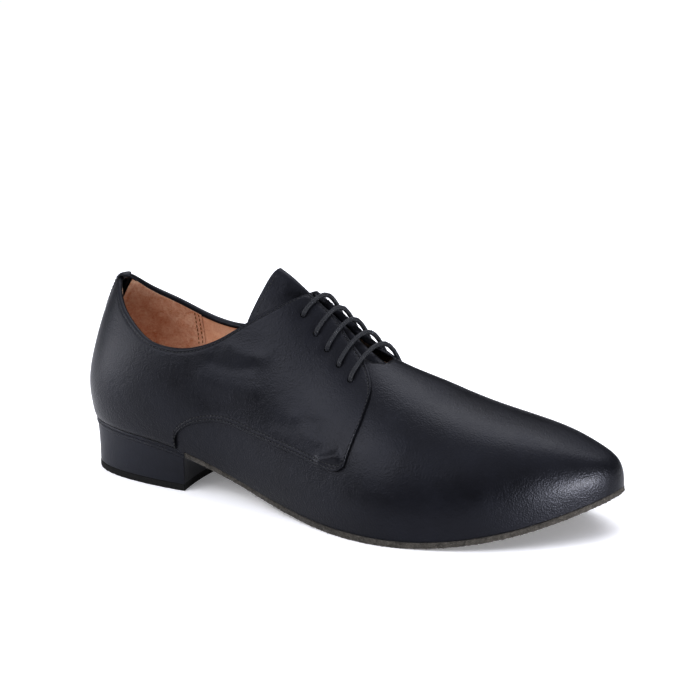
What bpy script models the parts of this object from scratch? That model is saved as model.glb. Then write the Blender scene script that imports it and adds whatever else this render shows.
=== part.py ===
"""Ballroom dance shoe for the right foot, worked out from the shape of its last.

Lengths in this script are millimetres and shape_object turns them into metres. X runs from the heel's
back to the toe, Y to the wearer's left (the inner side of this right shoe) and Z up from the floor.
"""

import math
from collections import namedtuple

import bmesh
import bpy
import numpy as np
from mathutils import Vector

MM = 0.001

LENGTH = 288.0
BALL_WIDTH = 102.0
INSTEP = 94.0
HEEL_SEAT = 24.5
HEEL_SPAN = 68.0
TOP_HEIGHT = 101.5

UPPER_WALL = 1.8
QUARTER_WALL = 1.2
STRIP_WALL = 0.8
TONGUE_WALL = 1.8
SOLE_THICKNESS = 3.0
INSOLE_THICKNESS = 2.0
LIFT_THICKNESS = 3.6
LACE_DIAMETER = 2.5
HOLE_DIAMETER = 3.6

CURVED_GAP = 0.4
FLAT_GAP = 0.3
# The strip is drawn closer, since the facets of the tightly curved back lie inside the true curve.
STRIP_GAP = -0.25
SOLE_EDGE = 0.8
INSOLE_INSET = 3.2
STRIP_HALF_WIDTH = 4.5
STRIP_ENDS = (0.31, 0.985)
LACE_CLEAR = 0.35
LACE_BEND = 1.6
BAR_SHARES = (0.72, 0.45, 0.2, 0.0, -0.2, -0.45, -0.72)
HOLE_DEPTH = 9.0
HEEL_TAPER = 0.965
# The block narrows towards this share of its span, and its hollow breast deepens with this power.
HEEL_CENTRE = 0.8
BREAST_POWER = 6
HEEL_HOLLOW = 3.0

UPPER_STATIONS = 42
UPPER_ROWS = 12
QUARTER_ROWS = 10
BACK_STEPS = 6
FRONT_STEPS = 2
TONGUE_ROWS = 12
STRIP_ROWS = 12
SOLE_STATIONS = 35
HEEL_STATIONS = 11
# Normals are read this far inside the back seam and the ridge, in station and v.
SEAM_MARGIN = 0.002

HALF_WIDTH = BALL_WIDTH / 2
# Where the heel's back at the seat lies, from the centre of the whole shoe's box.
HEEL_BACK = (-142.0, 1.8, 0.0)
LATERAL = -1
MEDIAL = 1

# Each row is a cross section of the last. at, axis and the heights are shares of LENGTH, of HALF_WIDTH and
# of INSTEP. The four widths are shares of HALF_WIDTH before the ends are drawn in. shoulder and crown are
# shares of the belly's width, and belly_up and shoulder_up are shares of the section's own height.
Section = namedtuple(
    "Section",
    "at axis feather_out feather_in belly_out belly_in belly_up shoulder shoulder_up crown ridge",
)
SECTIONS = [
    Section(0.00, 0.000, 1.280, 1.280, 1.360, 1.360, 0.38, 0.48, 0.78, 0.16, 0.900),
    Section(0.04, 0.000, 1.090, 1.090, 1.190, 1.190, 0.38, 0.48, 0.78, 0.16, 0.905),
    Section(0.12, 0.000, 0.890, 0.890, 0.980, 0.980, 0.39, 0.50, 0.78, 0.16, 0.940),
    Section(0.22, 0.000, 0.746, 0.710, 0.829, 0.793, 0.39, 0.52, 0.78, 0.16, 1.020),
    Section(0.32, 0.000, 0.668, 0.546, 0.757, 0.694, 0.36, 0.57, 0.76, 0.16, 1.130),
    Section(0.42, 0.000, 0.745, 0.507, 0.815, 0.685, 0.33, 0.57, 0.75, 0.16, 1.075),
    Section(0.50, 0.010, 0.873, 0.588, 0.922, 0.725, 0.32, 0.57, 0.74, 0.14, 0.948),
    Section(0.58, 0.020, 1.023, 0.755, 1.043, 0.825, 0.32, 0.68, 0.74, 0.24, 0.797),
    Section(0.66, 0.039, 1.139, 0.932, 1.149, 0.963, 0.32, 0.74, 0.76, 0.32, 0.727),
    Section(0.74, 0.078, 1.174, 1.017, 1.174, 1.028, 0.34, 0.76, 0.78, 0.35, 0.683),
    Section(0.82, 0.137, 1.174, 1.047, 1.174, 1.047, 0.36, 0.78, 0.80, 0.38, 0.658),
    Section(0.90, 0.216, 1.111, 1.029, 1.111, 1.029, 0.38, 0.78, 0.82, 0.40, 0.640),
    Section(0.96, 0.284, 0.975, 0.950, 0.975, 0.950, 0.40, 0.78, 0.84, 0.42, 0.630),
    Section(1.00, 0.343, 0.900, 0.900, 0.900, 0.900, 0.40, 0.78, 0.85, 0.42, 0.760),
]

# Underside of the sole: at as a share of LENGTH, height as a share of HEEL_SEAT.
Rise = namedtuple("Rise", "at height")
UNDERSIDE = [
    Rise(0.00, 1.010),
    Rise(0.04, 0.985),
    Rise(0.12, 0.925),
    Rise(0.22, 0.795),
    Rise(0.32, 0.478),
    Rise(0.42, 0.188),
    Rise(0.50, 0.049),
    Rise(0.57, -0.002),
    Rise(0.64, -0.010),
    Rise(0.70, -0.002),
    Rise(0.76, 0.041),
    Rise(0.82, 0.139),
    Rise(0.90, 0.360),
    Rise(0.96, 0.605),
    Rise(1.00, 0.810),
]

# How far the heel's back leans towards the toe: height as a share of TOP_HEIGHT, lean of LENGTH.
Lean = namedtuple("Lean", "height lean")
BACK = [
    Lean(0.20, 0.003),
    Lean(0.29, 0.001),
    Lean(0.36, -0.003),
    Lean(0.44, -0.006),
    Lean(0.54, -0.003),
    Lean(0.67, 0.007),
    Lean(0.83, 0.023),
    Lean(0.96, 0.042),
    Lean(1.02, 0.052),
    Lean(1.20, 0.078),
]
LEAN_REACH = 0.36
# Share of a section's height at which its belly begins.
BULGE_START = 0.12

# Collar edge: at as a share of LENGTH, heights of the outer and inner edge as shares of TOP_HEIGHT.
Edge = namedtuple("Edge", "at outer inner")
COLLAR = [
    Edge(0.000, 1.000, 1.000),
    Edge(0.019, 0.972, 0.978),
    Edge(0.064, 0.884, 0.905),
    Edge(0.118, 0.803, 0.838),
    Edge(0.165, 0.750, 0.778),
    Edge(0.207, 0.738, 0.745),
    Edge(0.243, 0.746, 0.738),
    Edge(0.275, 0.771, 0.755),
    Edge(0.306, 0.811, 0.800),
    Edge(0.334, 0.862, 0.856),
    Edge(0.360, 0.912, 0.908),
    Edge(0.385, 0.956, 0.953),
    Edge(0.410, 0.996, 0.990),
    Edge(0.434, 1.026, 1.020),
    Edge(0.460, 1.040, 1.036),
]

# Throat slot of the upper: at as a share of LENGTH, reach from the ridge to the edge in shares of HALF_WIDTH.
Slot = namedtuple("Slot", "at reach")
FACING_TOP = 0.459
THROAT = [Slot(0.440, 0.115), Slot(0.500, 0.150), Slot(0.545, 0.190), Slot(0.575, 0.150), Slot(0.592, 0.050)]

# Outline of a quarter from the heel's back to its front edge, as pairs of places that face each other: at on
# the upper and on the lower side as shares of LENGTH, reach of the facing's edge from the ridge as a share of
# HALF_WIDTH, and height of the lower side as a share of TOP_HEIGHT. Behind the facing the upper side is the
# collar. A height of 0 stands for the feather line.
Pair = namedtuple("Pair", "top_at reach seam_at height")
FACING = 0.060
QUARTER_BACK = [
    Pair(0.00002, FACING, 0.00002, 0),
    Pair(0.03000, FACING, 0.03000, 0),
    Pair(0.12000, FACING, 0.12000, 0),
    Pair(0.21500, FACING, 0.22530, 0),
]
QUARTER_WAIST = [
    Pair(0.215, FACING, 0.2253, 0.225),
    Pair(0.240, FACING, 0.2264, 0.285),
    Pair(0.266, FACING, 0.2380, 0.331),
    Pair(0.296, FACING, 0.2620, 0.376),
    Pair(0.328, FACING, 0.2940, 0.405),
    Pair(0.360, FACING, 0.3285, 0.417),
    Pair(0.394, FACING, 0.3620, 0.407),
    Pair(0.428, FACING, 0.4000, 0.386),
    Pair(0.460, FACING, 0.4380, 0.367),
]
QUARTER_FRONT = [
    Pair(0.460, FACING, 0.4380, 0.367),
    Pair(0.493, 0.075, 0.4646, 0.355),
    Pair(0.521, 0.130, 0.4900, 0.342),
    Pair(0.546, 0.180, 0.5150, 0.330),
    Pair(0.566, 0.240, 0.5380, 0.318),
    Pair(0.583, 0.325, 0.5550, 0.310),
    Pair(0.596, 0.430, 0.5700, 0.308),
    Pair(0.602, 0.560, 0.5820, 0.316),
    Pair(0.602, 0.720, 0.5920, 0.338),
]

# Lace holes: at as a share of LENGTH on the outer and the inner side, since each bar runs a little askew, and
# reach from the ridge as a share of HALF_WIDTH.
Hole = namedtuple("Hole", "outer inner reach")
HOLES = [
    Hole(0.446, 0.472, 0.225),
    Hole(0.475, 0.498, 0.275),
    Hole(0.501, 0.521, 0.320),
    Hole(0.529, 0.546, 0.375),
    Hole(0.557, 0.570, 0.440),
]

# Tongue: at as a share of LENGTH, reach of its sides and of its raised middle as shares of HALF_WIDTH, and
# how far it lies under the upper's outside in the middle and beside it, as shares of UPPER_WALL.
Flap = namedtuple("Flap", "at reach crown middle side")
TONGUE = [
    Flap(0.345, 0.40, 0.20, 0.00, 2.0),
    Flap(0.400, 0.42, 0.16, 0.20, 2.4),
    Flap(0.430, 0.45, 0.12, 0.60, 2.8),
    Flap(0.455, 0.48, 0.11, 1.00, 3.4),
    Flap(0.520, 0.54, 0.12, 1.20, 3.5),
    Flap(0.560, 0.58, 0.14, 1.50, 3.5),
    Flap(0.590, 0.58, 0.14, 1.75, 3.2),
    Flap(0.615, 0.54, 0.14, 1.42, 1.9),
]
TONGUE_TIP = 0.033
TONGUE_PLACES = [0, 0.2, 0.4, 0.7, 1]

# How far the sole stands out past the feather line: at as a share of LENGTH, out as a share of SOLE_EDGE.
Ledge = namedtuple("Ledge", "at out")
LEDGE = [
    Ledge(0.00, -0.4),
    Ledge(0.22, -0.4),
    Ledge(0.36, -1.2),
    Ledge(0.50, 0.2),
    Ledge(0.60, 1.0),
    Ledge(0.90, 1.0),
    Ledge(1.00, 0.0),
]


def smooth_spline(at, values, level_ends=True):
    """The cubic spline through the values, level or unbent at both ends, as a function."""
    at = np.asarray(at, float)
    values = np.asarray(values, float)
    step = np.diff(at)
    count = len(at)
    matrix = np.zeros((count, count))
    right = np.zeros(count)
    slope = np.diff(values) / step
    matrix[0, :2] = 2 * step[0], step[0]
    right[0] = 6 * slope[0]
    matrix[-1, -2:] = step[-1], 2 * step[-1]
    right[-1] = -6 * slope[-1]
    for row in range(1, count - 1):
        matrix[row, row - 1 : row + 2] = step[row - 1], 2 * (step[row - 1] + step[row]), step[row]
        right[row] = 6 * (slope[row] - slope[row - 1])
    if not level_ends:
        matrix[0, :2] = 1, 0
        matrix[-1, -2:] = 0, 1
        right[0] = right[-1] = 0
    bend = np.linalg.solve(matrix, right)

    def value(x):
        x = np.clip(np.asarray(x, float), at[0], at[-1])
        i = np.clip(np.searchsorted(at, x) - 1, 0, count - 2)
        before = x - at[i]
        after = at[i + 1] - x
        cubic = (bend[i] * after**3 + bend[i + 1] * before**3) / (6 * step[i])
        left = (values[i] / step[i] - bend[i] * step[i] / 6) * after
        return cubic + left + (values[i + 1] / step[i] - bend[i + 1] * step[i] / 6) * before

    return value


def station(at):
    """The station (0 at the heel's back, 1 at the toe tip) of a share of the length."""
    return np.arccos(1 - 2 * np.asarray(at, float)) / np.pi


def along(table, column):
    """A column of a table as a smooth function of the station."""
    return smooth_spline(station([row.at for row in table]), [getattr(row, column) for row in table])


SECTION = {name: along(SECTIONS, name) for name in Section._fields}
RISE = along(UNDERSIDE, "height")
LEAN = smooth_spline([row.height * TOP_HEIGHT for row in BACK], [row.lean * LENGTH for row in BACK])
COLLAR_HEIGHT = {LATERAL: along(COLLAR, "outer"), MEDIAL: along(COLLAR, "inner")}


def station_x(s):
    return LENGTH / 2 * (1 - np.cos(np.pi * np.asarray(s, float)))


def underside(s):
    """Height of the sole's underside: it lies flat on the floor under the ball."""
    return np.maximum(HEEL_SEAT * RISE(s), 0.0)


def feather(s):
    """Height of the line where the upper meets the sole."""
    return underside(s) + SOLE_THICKNESS + FLAT_GAP


def basis(v):
    """Weights of a section's six control points, those of a clamped cubic B-spline."""
    knots = np.array([0, 0, 0, 0, 1, 2, 3, 3, 3, 3], float)
    u = np.clip(np.asarray(v, float), 0, 1) * 3
    u = np.minimum(u, 3 - 1e-9)
    weights = [np.where((knots[i] <= u) & (u < knots[i + 1]), 1.0, 0.0) for i in range(9)]
    for degree in (1, 2, 3):
        for i in range(9 - degree):
            left = knots[i + degree] - knots[i]
            right = knots[i + degree + 1] - knots[i + 1]
            first = (u - knots[i]) / left * weights[i] if left else 0
            second = (knots[i + degree + 1] - u) / right * weights[i + 1] if right else 0
            weights[i] = first + second
    return weights[:6]


def last(side, s, v):
    """A point of the last: v runs from the feather line (0) up to the ridge (1)."""
    s, v = np.broadcast_arrays(np.asarray(s, float), np.asarray(v, float))
    ends = np.sin(np.pi * s)
    drawn_in = np.where(s < 0.5, 1.0, ends)
    outer = side == LATERAL
    foot = HALF_WIDTH * ends * SECTION["feather_out" if outer else "feather_in"](s)
    belly = HALF_WIDTH * ends * SECTION["belly_out" if outer else "belly_in"](s)
    base = feather(s)
    height = INSTEP * SECTION["ridge"](s) * drawn_in
    widths = [foot, belly, belly, belly * SECTION["shoulder"](s), belly * SECTION["crown"](s), 0 * s]
    rises = [0 * s, BULGE_START + 0 * s, SECTION["belly_up"](s), SECTION["shoulder_up"](s), 1 + 0 * s, 1 + 0 * s]
    weights = basis(v)
    y = sum(weight * width for weight, width in zip(weights, widths))
    z = base + height * sum(weight * rise for weight, rise in zip(weights, rises))
    fade = np.clip(1 - station_x(s) / (LEAN_REACH * LENGTH), 0, 1) ** 2
    x = station_x(s) + LEAN(z) * fade
    return np.stack([x, HALF_WIDTH * SECTION["axis"](s) + side * y, z], -1)


def surface(side, s, v, lift=0.0):
    """A point of the last's surface, lifted off it along its normal."""
    s, v = np.broadcast_arrays(np.asarray(s, float), np.asarray(v, float))
    point = last(side, s, v)
    if np.all(np.asarray(lift) == 0):
        return point
    step = SEAM_MARGIN / 4
    near_s = np.clip(s, 2 * SEAM_MARGIN, 1 - 2 * SEAM_MARGIN)
    near_v = np.clip(v, SEAM_MARGIN, 1 - SEAM_MARGIN)
    by_s = last(side, near_s + step, near_v) - last(side, near_s - step, near_v)
    by_v = last(side, near_s, near_v + step) - last(side, near_s, near_v - step)
    normal = np.cross(by_s, by_v) * -side
    normal /= np.linalg.norm(normal, axis=-1, keepdims=True)
    on_seam = (s < 2 * SEAM_MARGIN) | (v > 1 - SEAM_MARGIN)
    normal[..., 1] = np.where(on_seam, 0, normal[..., 1])
    normal /= np.linalg.norm(normal, axis=-1, keepdims=True)
    return point + normal * np.asarray(lift)[..., None]


def solve(value, target, low=0.0, high=1.0):
    """The v at which a value that grows with v reaches the target."""
    low = np.full_like(np.asarray(target, float), low)
    high = np.full_like(low, high)
    for _ in range(40):
        middle = (low + high) / 2
        below = value(middle) < target
        low = np.where(below, middle, low)
        high = np.where(below, high, middle)
    return (low + high) / 2


def at_height(side, s, z):
    """The v of the place at height z on station s."""
    return solve(lambda v: last(side, s, v)[..., 2], np.asarray(z, float) + 0 * s)


def at_reach(side, s, reach):
    """The v of the upper place that lies this far from the ridge, measured across the shoe."""
    middle = HALF_WIDTH * SECTION["axis"](s)
    return solve(lambda v: -abs(last(side, s, v)[..., 1] - middle), -(np.asarray(reach, float) + 0 * s), 0.4)


def collar(side, s):
    """The v of the collar edge on station s."""
    return at_height(side, s, COLLAR_HEIGHT[side](s) * TOP_HEIGHT)


def between(table, column, at):
    """A column read off a table with straight lines between its rows."""
    return np.interp(at, [row.at for row in table], [getattr(row, column) for row in table])


def top_edge(side, s, reach):
    """The v of an edge that follows the collar, then stays this far from the ridge."""
    return np.minimum(collar(side, s), at_reach(side, s, reach))


def upper_edge(side, s):
    """The v of the upper's own top edge: the collar, then the throat slot, then the closed ridge."""
    at = station_x(s) / LENGTH
    edge = top_edge(side, s, HALF_WIDTH * between(THROAT, "reach", at))
    return np.where(at > THROAT[-1].at, 1.0, edge)


# Building


def shape_object(name, points, faces, finish, collection):
    """A mesh object from points in millimetres, welded where its ends come to a point."""
    mesh = bpy.data.meshes.new(name)
    mesh.from_pydata([tuple(MM * value for value in point) for point in points], [], faces)
    shape = bmesh.new()
    shape.from_mesh(mesh)
    bmesh.ops.remove_doubles(shape, verts=shape.verts, dist=0.02 * MM)
    bmesh.ops.dissolve_degenerate(shape, edges=shape.edges, dist=0.001 * MM)
    shape.to_mesh(mesh)
    shape.free()
    mesh.materials.append(finish)
    obj = bpy.data.objects.new(name, mesh)
    obj.location = Vector(HEEL_BACK) * MM
    collection.objects.link(obj)
    return obj


def grid_faces(rows, columns, turned=False, start=0):
    """Quads over a grid of points listed row by row."""
    faces = []
    for row in range(rows - 1):
        for column in range(columns - 1):
            corner = start + row * columns + column
            face = (corner, corner + 1, corner + columns + 1, corner + columns)
            faces.append(face[::-1] if turned else face)
    return faces


def thicken(obj, wall, even=True):
    """Gives an open surface its wall, on its inner side."""
    modifier = obj.modifiers.new("wall", "SOLIDIFY")
    modifier.thickness = wall * MM
    modifier.offset = -1
    modifier.use_even_offset = even
    modifier.use_rim = True


def slab(name, top, bottom, finish, collection):
    """A closed solid between two grids of points with the same rows and columns."""
    rows, columns = top.shape[:2]
    points = np.concatenate([top.reshape(-1, 3), bottom.reshape(-1, 3)])
    under = rows * columns
    faces = grid_faces(rows, columns, turned=True) + grid_faces(rows, columns, start=under)
    rim = [column for column in range(columns)]
    rim += [row * columns + columns - 1 for row in range(1, rows)]
    rim += [under - 1 - column for column in range(1, columns)]
    rim += [row * columns for row in range(rows - 2, 0, -1)]
    for here, after in zip(rim, rim[1:] + rim[:1]):
        faces.append((here, after, after + under, here + under))
    obj = shape_object(name, points, faces, finish, collection)
    shape = bmesh.new()
    shape.from_mesh(obj.data)
    bmesh.ops.recalc_face_normals(shape, faces=shape.faces)
    shape.to_mesh(obj.data)
    shape.free()
    return obj


def finish_of(name, colour, roughness):
    """A plain Principled material."""
    material = bpy.data.materials.new(name)
    material.use_nodes = True
    shader = material.node_tree.nodes["Principled BSDF"]
    shader.inputs["Base Color"].default_value = (*colour, 1)
    shader.inputs["Roughness"].default_value = roughness
    material.diffuse_color = (*colour, 1)
    return material


def side_pair(grid_of):
    """Grids of both sides as one list of points and faces that face outwards."""
    points, faces = [], []
    for side in (LATERAL, MEDIAL):
        grid = grid_of(side)
        faces += grid_faces(*grid.shape[:2], turned=side == LATERAL, start=len(points))
        points += list(grid.reshape(-1, 3))
    return points, faces


def build_upper(finish, collection):
    """The hollow upper: both sides meet at the back seam and, in front of the throat, on the ridge."""
    marks = [THROAT[0].at, FACING_TOP, THROAT[-1].at, THROAT[-1].at + 0.0005]
    even = station_x(np.linspace(0, 1, UPPER_STATIONS)) / LENGTH
    even = [at for at in even if min(abs(at - mark) for mark in marks) > 0.004]
    s = station(np.array(sorted(even + marks)))[:, None]
    across = np.linspace(0, 1, UPPER_ROWS)
    points, faces = side_pair(lambda side: last(side, s, upper_edge(side, s) * across))
    obj = shape_object("upper", points, faces, finish, collection)
    thicken(obj, UPPER_WALL)
    return obj


def spread(rows, column, steps):
    """A column of an outline's rows as a smooth run of values, steps to each row."""
    marks = np.arange(len(rows))
    values = [getattr(row, column) for row in rows]
    values = station(values) if column.endswith("at") else values
    return smooth_spline(marks, values, level_ends=False)(np.linspace(0, marks[-1], steps * marks[-1] + 1))


def quarter_grid(side, lift):
    """Points of a quarter, in columns that run from its lower side to its upper side."""
    columns = []
    across = np.linspace(0, 1, QUARTER_ROWS)
    for rows in (QUARTER_BACK, QUARTER_WAIST, QUARTER_FRONT):
        steps = BACK_STEPS if rows is QUARTER_BACK else FRONT_STEPS
        top = spread(rows, "top_at", steps)
        seam = spread(rows, "seam_at", steps)
        high = top_edge(side, top, HALF_WIDTH * spread(rows, "reach", steps))
        low = at_height(side, seam, TOP_HEIGHT * spread(rows, "height", steps))
        for s0, v0, s1, v1 in list(zip(seam, low, top, high))[0 if rows is QUARTER_BACK else 1 :]:
            columns.append(surface(side, s0 + (s1 - s0) * across, v0 + (v1 - v0) * across, lift))
    return np.array(columns)


def build_quarter(name, side, finish, collection):
    """A quarter: one thin layer that lies on the upper and carries the facing."""
    grid = quarter_grid(side, CURVED_GAP + QUARTER_WALL)
    faces = grid_faces(*grid.shape[:2], turned=side == LATERAL)
    obj = shape_object(name, grid.reshape(-1, 3), faces, finish, collection)
    thicken(obj, QUARTER_WALL)
    return obj


def build_back_strip(finish, collection):
    """The narrow strip that covers the seam between the quarters."""
    lift = CURVED_GAP + QUARTER_WALL + STRIP_GAP + STRIP_WALL
    heights = np.linspace(*STRIP_ENDS, STRIP_ROWS) * TOP_HEIGHT
    across = np.linspace(-1, 1, 7) * STRIP_HALF_WIDTH
    grid = []
    for height in heights:
        row = []
        for place in across:
            side = MEDIAL if place > 0 else LATERAL
            s = solve(lambda s: abs(last(side, s, at_height(side, s, height))[..., 1]), abs(place), 0, 0.2)
            row.append(surface(side, s, at_height(side, s, height), lift))
        grid.append(row)
    grid = np.array(grid)
    faces = grid_faces(*grid.shape[:2], turned=False)
    obj = shape_object("back_strip", grid.reshape(-1, 3), faces, finish, collection)
    thicken(obj, STRIP_WALL)
    return obj


def tongue_grid(lift=0.0):
    """Points of the tongue's outside, from its tip down to its root under the vamp."""
    grid = []
    for start in np.linspace(0, 1, TONGUE_ROWS):
        row = []
        for share in [-place for place in TONGUE_PLACES[:0:-1]] + TONGUE_PLACES:
            tip = TONGUE_TIP * (1 - share**2) * (1 - start) ** 3
            at = TONGUE[0].at + (TONGUE[-1].at - TONGUE[0].at) * start + tip
            reach = abs(share) * HALF_WIDTH * between(TONGUE, "reach", at)
            side = MEDIAL if share > 0 else LATERAL
            middle = between(TONGUE, "middle", at)
            beside = between(TONGUE, "side", at)
            crown = HALF_WIDTH * between(TONGUE, "crown", at)
            drop = middle + (beside - middle) * min(reach / crown, 1) ** 2
            v = 1.0 if reach == 0 else at_reach(side, station(at), reach)
            row.append(surface(side, station(at), v, lift - UPPER_WALL * drop))
        grid.append(row)
    return np.array(grid)


def build_tongue(finish, collection):
    """The tongue, which rises between the facings and past the collar."""
    grid = tongue_grid()
    faces = grid_faces(*grid.shape[:2], turned=True)
    obj = shape_object("tongue", grid.reshape(-1, 3), faces, finish, collection)
    thicken(obj, TONGUE_WALL, even=False)
    return obj


def outline(side, s, out):
    """Plan of the feather line, moved outwards by the given distance."""
    s = np.asarray(s, float)
    small = 1e-4
    low = np.clip(s, 2 * small, 1 - 2 * small)
    along_it = last(side, low + small, 0.0) - last(side, low - small, 0.0)
    across = np.stack([-along_it[..., 1], along_it[..., 0]], -1)
    across /= np.linalg.norm(across, axis=-1, keepdims=True)
    point = last(side, s, 0.0)[..., :2]
    return point + side * across * np.asarray(out)[..., None]


def sole_grid(marks, out, columns):
    """Plan points between the two edges of the sole, a row for each station."""
    left = outline(LATERAL, marks, out)
    right = outline(MEDIAL, marks, out)
    left[marks == 0, 1] = right[marks == 0, 1] = SECTION["axis"](0) * HALF_WIDTH
    left[marks == 1, 1] = right[marks == 1, 1] = SECTION["axis"](1) * HALF_WIDTH
    shares = np.linspace(0, 1, columns)[None, :, None]
    return left[:, None] * (1 - shares) + right[:, None] * shares


def raised(plan, height):
    """Plan points with a height for each."""
    return np.concatenate([plan, np.broadcast_to(height, plan.shape[:2])[..., None]], -1)


def ledge(marks):
    return SOLE_EDGE * between(LEDGE, "out", station_x(marks) / LENGTH)


def build_outsole(finish, collection):
    """The thin outsole: flat under the ball, raised over the waist, heel seat and toe."""
    marks = np.linspace(0, 1, SOLE_STATIONS)
    plan = sole_grid(marks, ledge(marks), 5)
    bottom = underside(marks)[:, None]
    return slab("outsole", raised(plan, bottom + SOLE_THICKNESS), raised(plan, bottom), finish, collection)


def build_insole(finish, collection):
    """The insole, which lies on the outsole inside the upper's wall."""
    marks = np.linspace(0, 1, SOLE_STATIONS)
    plan = sole_grid(marks, -INSOLE_INSET + 0 * marks, 5)
    base = feather(station(np.clip(plan[..., 0] / LENGTH, 0, 1)))
    return slab("insole", raised(plan, base + INSOLE_THICKNESS), raised(plan, base), finish, collection)


def heel_plan(taper):
    """Plan of the heel: the sole's own edge at the seat, with a breast that is hollow across."""
    marks = station(np.linspace(0, math.sqrt(HEEL_SPAN / LENGTH), HEEL_STATIONS) ** 2)
    plan = sole_grid(marks, ledge(marks), 7)
    hollow = HEEL_HOLLOW * (1 - np.linspace(-1, 1, 7) ** 2)
    plan[..., 0] -= hollow[None] * (marks / marks[-1])[:, None] ** BREAST_POWER
    centre = np.array([HEEL_SPAN * HEEL_CENTRE, 0.0])
    return centre + (plan - centre) * taper


def build_heel(finish, collection):
    """The covered heel block between the seat of the sole and the top lift."""
    above = heel_plan(1.0)
    top = underside(station(np.clip(above[..., 0] / LENGTH, 0, 1))) - FLAT_GAP
    return slab("heel", raised(above, top), raised(heel_plan(HEEL_TAPER), LIFT_THICKNESS), finish, collection)


def build_top_lift(finish, collection):
    """The flat rubber piece that the heel stands on."""
    plan = heel_plan(HEEL_TAPER)
    return slab("top_lift", raised(plan, LIFT_THICKNESS), raised(plan, 0.0), finish, collection)


def bar_place(hole, share, lift):
    """A place on the line over the shoe from the outer hole (share -1) to the inner one (share 1)."""
    side = MEDIAL if share > 0 else LATERAL
    s = station(hole.outer + (hole.inner - hole.outer) * (share + 1) / 2)
    v = at_reach(side, s, hole.reach * HALF_WIDTH * abs(share)) if share else 1.0
    return surface(side, s, v, lift)


def bend(before, corner, after, radius):
    """Points round a corner of a route, on an arc of about this radius."""
    to_before = (before - corner) / np.linalg.norm(before - corner)
    to_after = (after - corner) / np.linalg.norm(after - corner)
    half = math.acos(np.clip(np.dot(to_before, to_after), -1, 1)) / 2
    start = corner + to_before * radius / math.tan(half)
    end = corner + to_after * radius / math.tan(half)
    centre = corner + (to_before + to_after) / np.linalg.norm(to_before + to_after) * radius / math.sin(half)
    points = []
    for share in np.linspace(0, 1, 5):
        spoke = (start - centre) * (1 - share) + (end - centre) * share
        points.append(centre + spoke / np.linalg.norm(spoke) * radius)
    return points


def lace_route():
    """The lace: a straight bar over the gap at each pair of holes, joined under the facings."""
    over = CURVED_GAP + QUARTER_WALL + LACE_CLEAR + LACE_DIAMETER / 2
    under = -UPPER_WALL - LACE_CLEAR - LACE_DIAMETER / 2
    route = []
    for number, hole in enumerate(HOLES):
        start = MEDIAL if number % 2 else LATERAL
        bar = [bar_place(hole, start * share, over) for share in BAR_SHARES]
        entry, leave = bar_place(hole, start, under), bar_place(hole, -start, under)
        first, final = bar_place(hole, start, over), bar_place(hole, -start, over)
        if number:
            route += bend(bar_place(HOLES[number - 1], start, under), entry, first, LACE_BEND)
        else:
            route.append(entry)
        route += bend(entry, first, bar[0], LACE_BEND)
        route += bar
        route += bend(bar[-1], final, leave, LACE_BEND)
        if number + 1 < len(HOLES):
            route += bend(final, leave, bar_place(HOLES[number + 1], -start, under), LACE_BEND)
        else:
            route.append(leave)
    return route


def build_lace(finish, collection):
    """The lace, as one cord with its bars."""
    curve = bpy.data.curves.new("lace", "CURVE")
    curve.dimensions = "3D"
    curve.bevel_depth = LACE_DIAMETER / 2 * MM
    curve.bevel_resolution = 1
    curve.use_fill_caps = True
    line = curve.splines.new("POLY")
    route = lace_route()
    line.points.add(len(route) - 1)
    for point, place in zip(line.points, route):
        point.co = (*(MM * value for value in place), 1)
    curve.materials.append(finish)
    obj = bpy.data.objects.new("lace", curve)
    obj.location = Vector(HEEL_BACK) * MM
    collection.objects.link(obj)
    return obj


def build_hole_cutters(collection):
    """Ten pins, joined in one mesh, that cut the lace holes."""
    shape = bmesh.new()
    for hole in HOLES:
        for side in (LATERAL, MEDIAL):
            low = Vector(bar_place(hole, side, -HOLE_DEPTH / 2)) * MM
            high = Vector(bar_place(hole, side, HOLE_DEPTH / 2)) * MM
            pin = bmesh.ops.create_cone(
                shape,
                cap_ends=True,
                segments=10,
                radius1=HOLE_DIAMETER / 2 * MM,
                radius2=HOLE_DIAMETER / 2 * MM,
                depth=HOLE_DEPTH * MM,
            )
            turn = (high - low).to_track_quat("Z", "Y").to_matrix()
            bmesh.ops.rotate(shape, verts=pin["verts"], cent=(0, 0, 0), matrix=turn)
            bmesh.ops.translate(shape, verts=pin["verts"], vec=(low + high) / 2)
    mesh = bpy.data.meshes.new("hole_pins")
    shape.to_mesh(mesh)
    shape.free()
    obj = bpy.data.objects.new("hole_pins", mesh)
    obj.location = Vector(HEEL_BACK) * MM
    obj.hide_render = True
    obj.display_type = "WIRE"
    collection.objects.link(obj)
    return obj


def cut(obj, cutter):
    """Cuts the holes from a piece."""
    modifier = obj.modifiers.new("lace holes", "BOOLEAN")
    modifier.operation = "DIFFERENCE"
    modifier.solver = "EXACT"
    modifier.object = cutter


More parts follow.
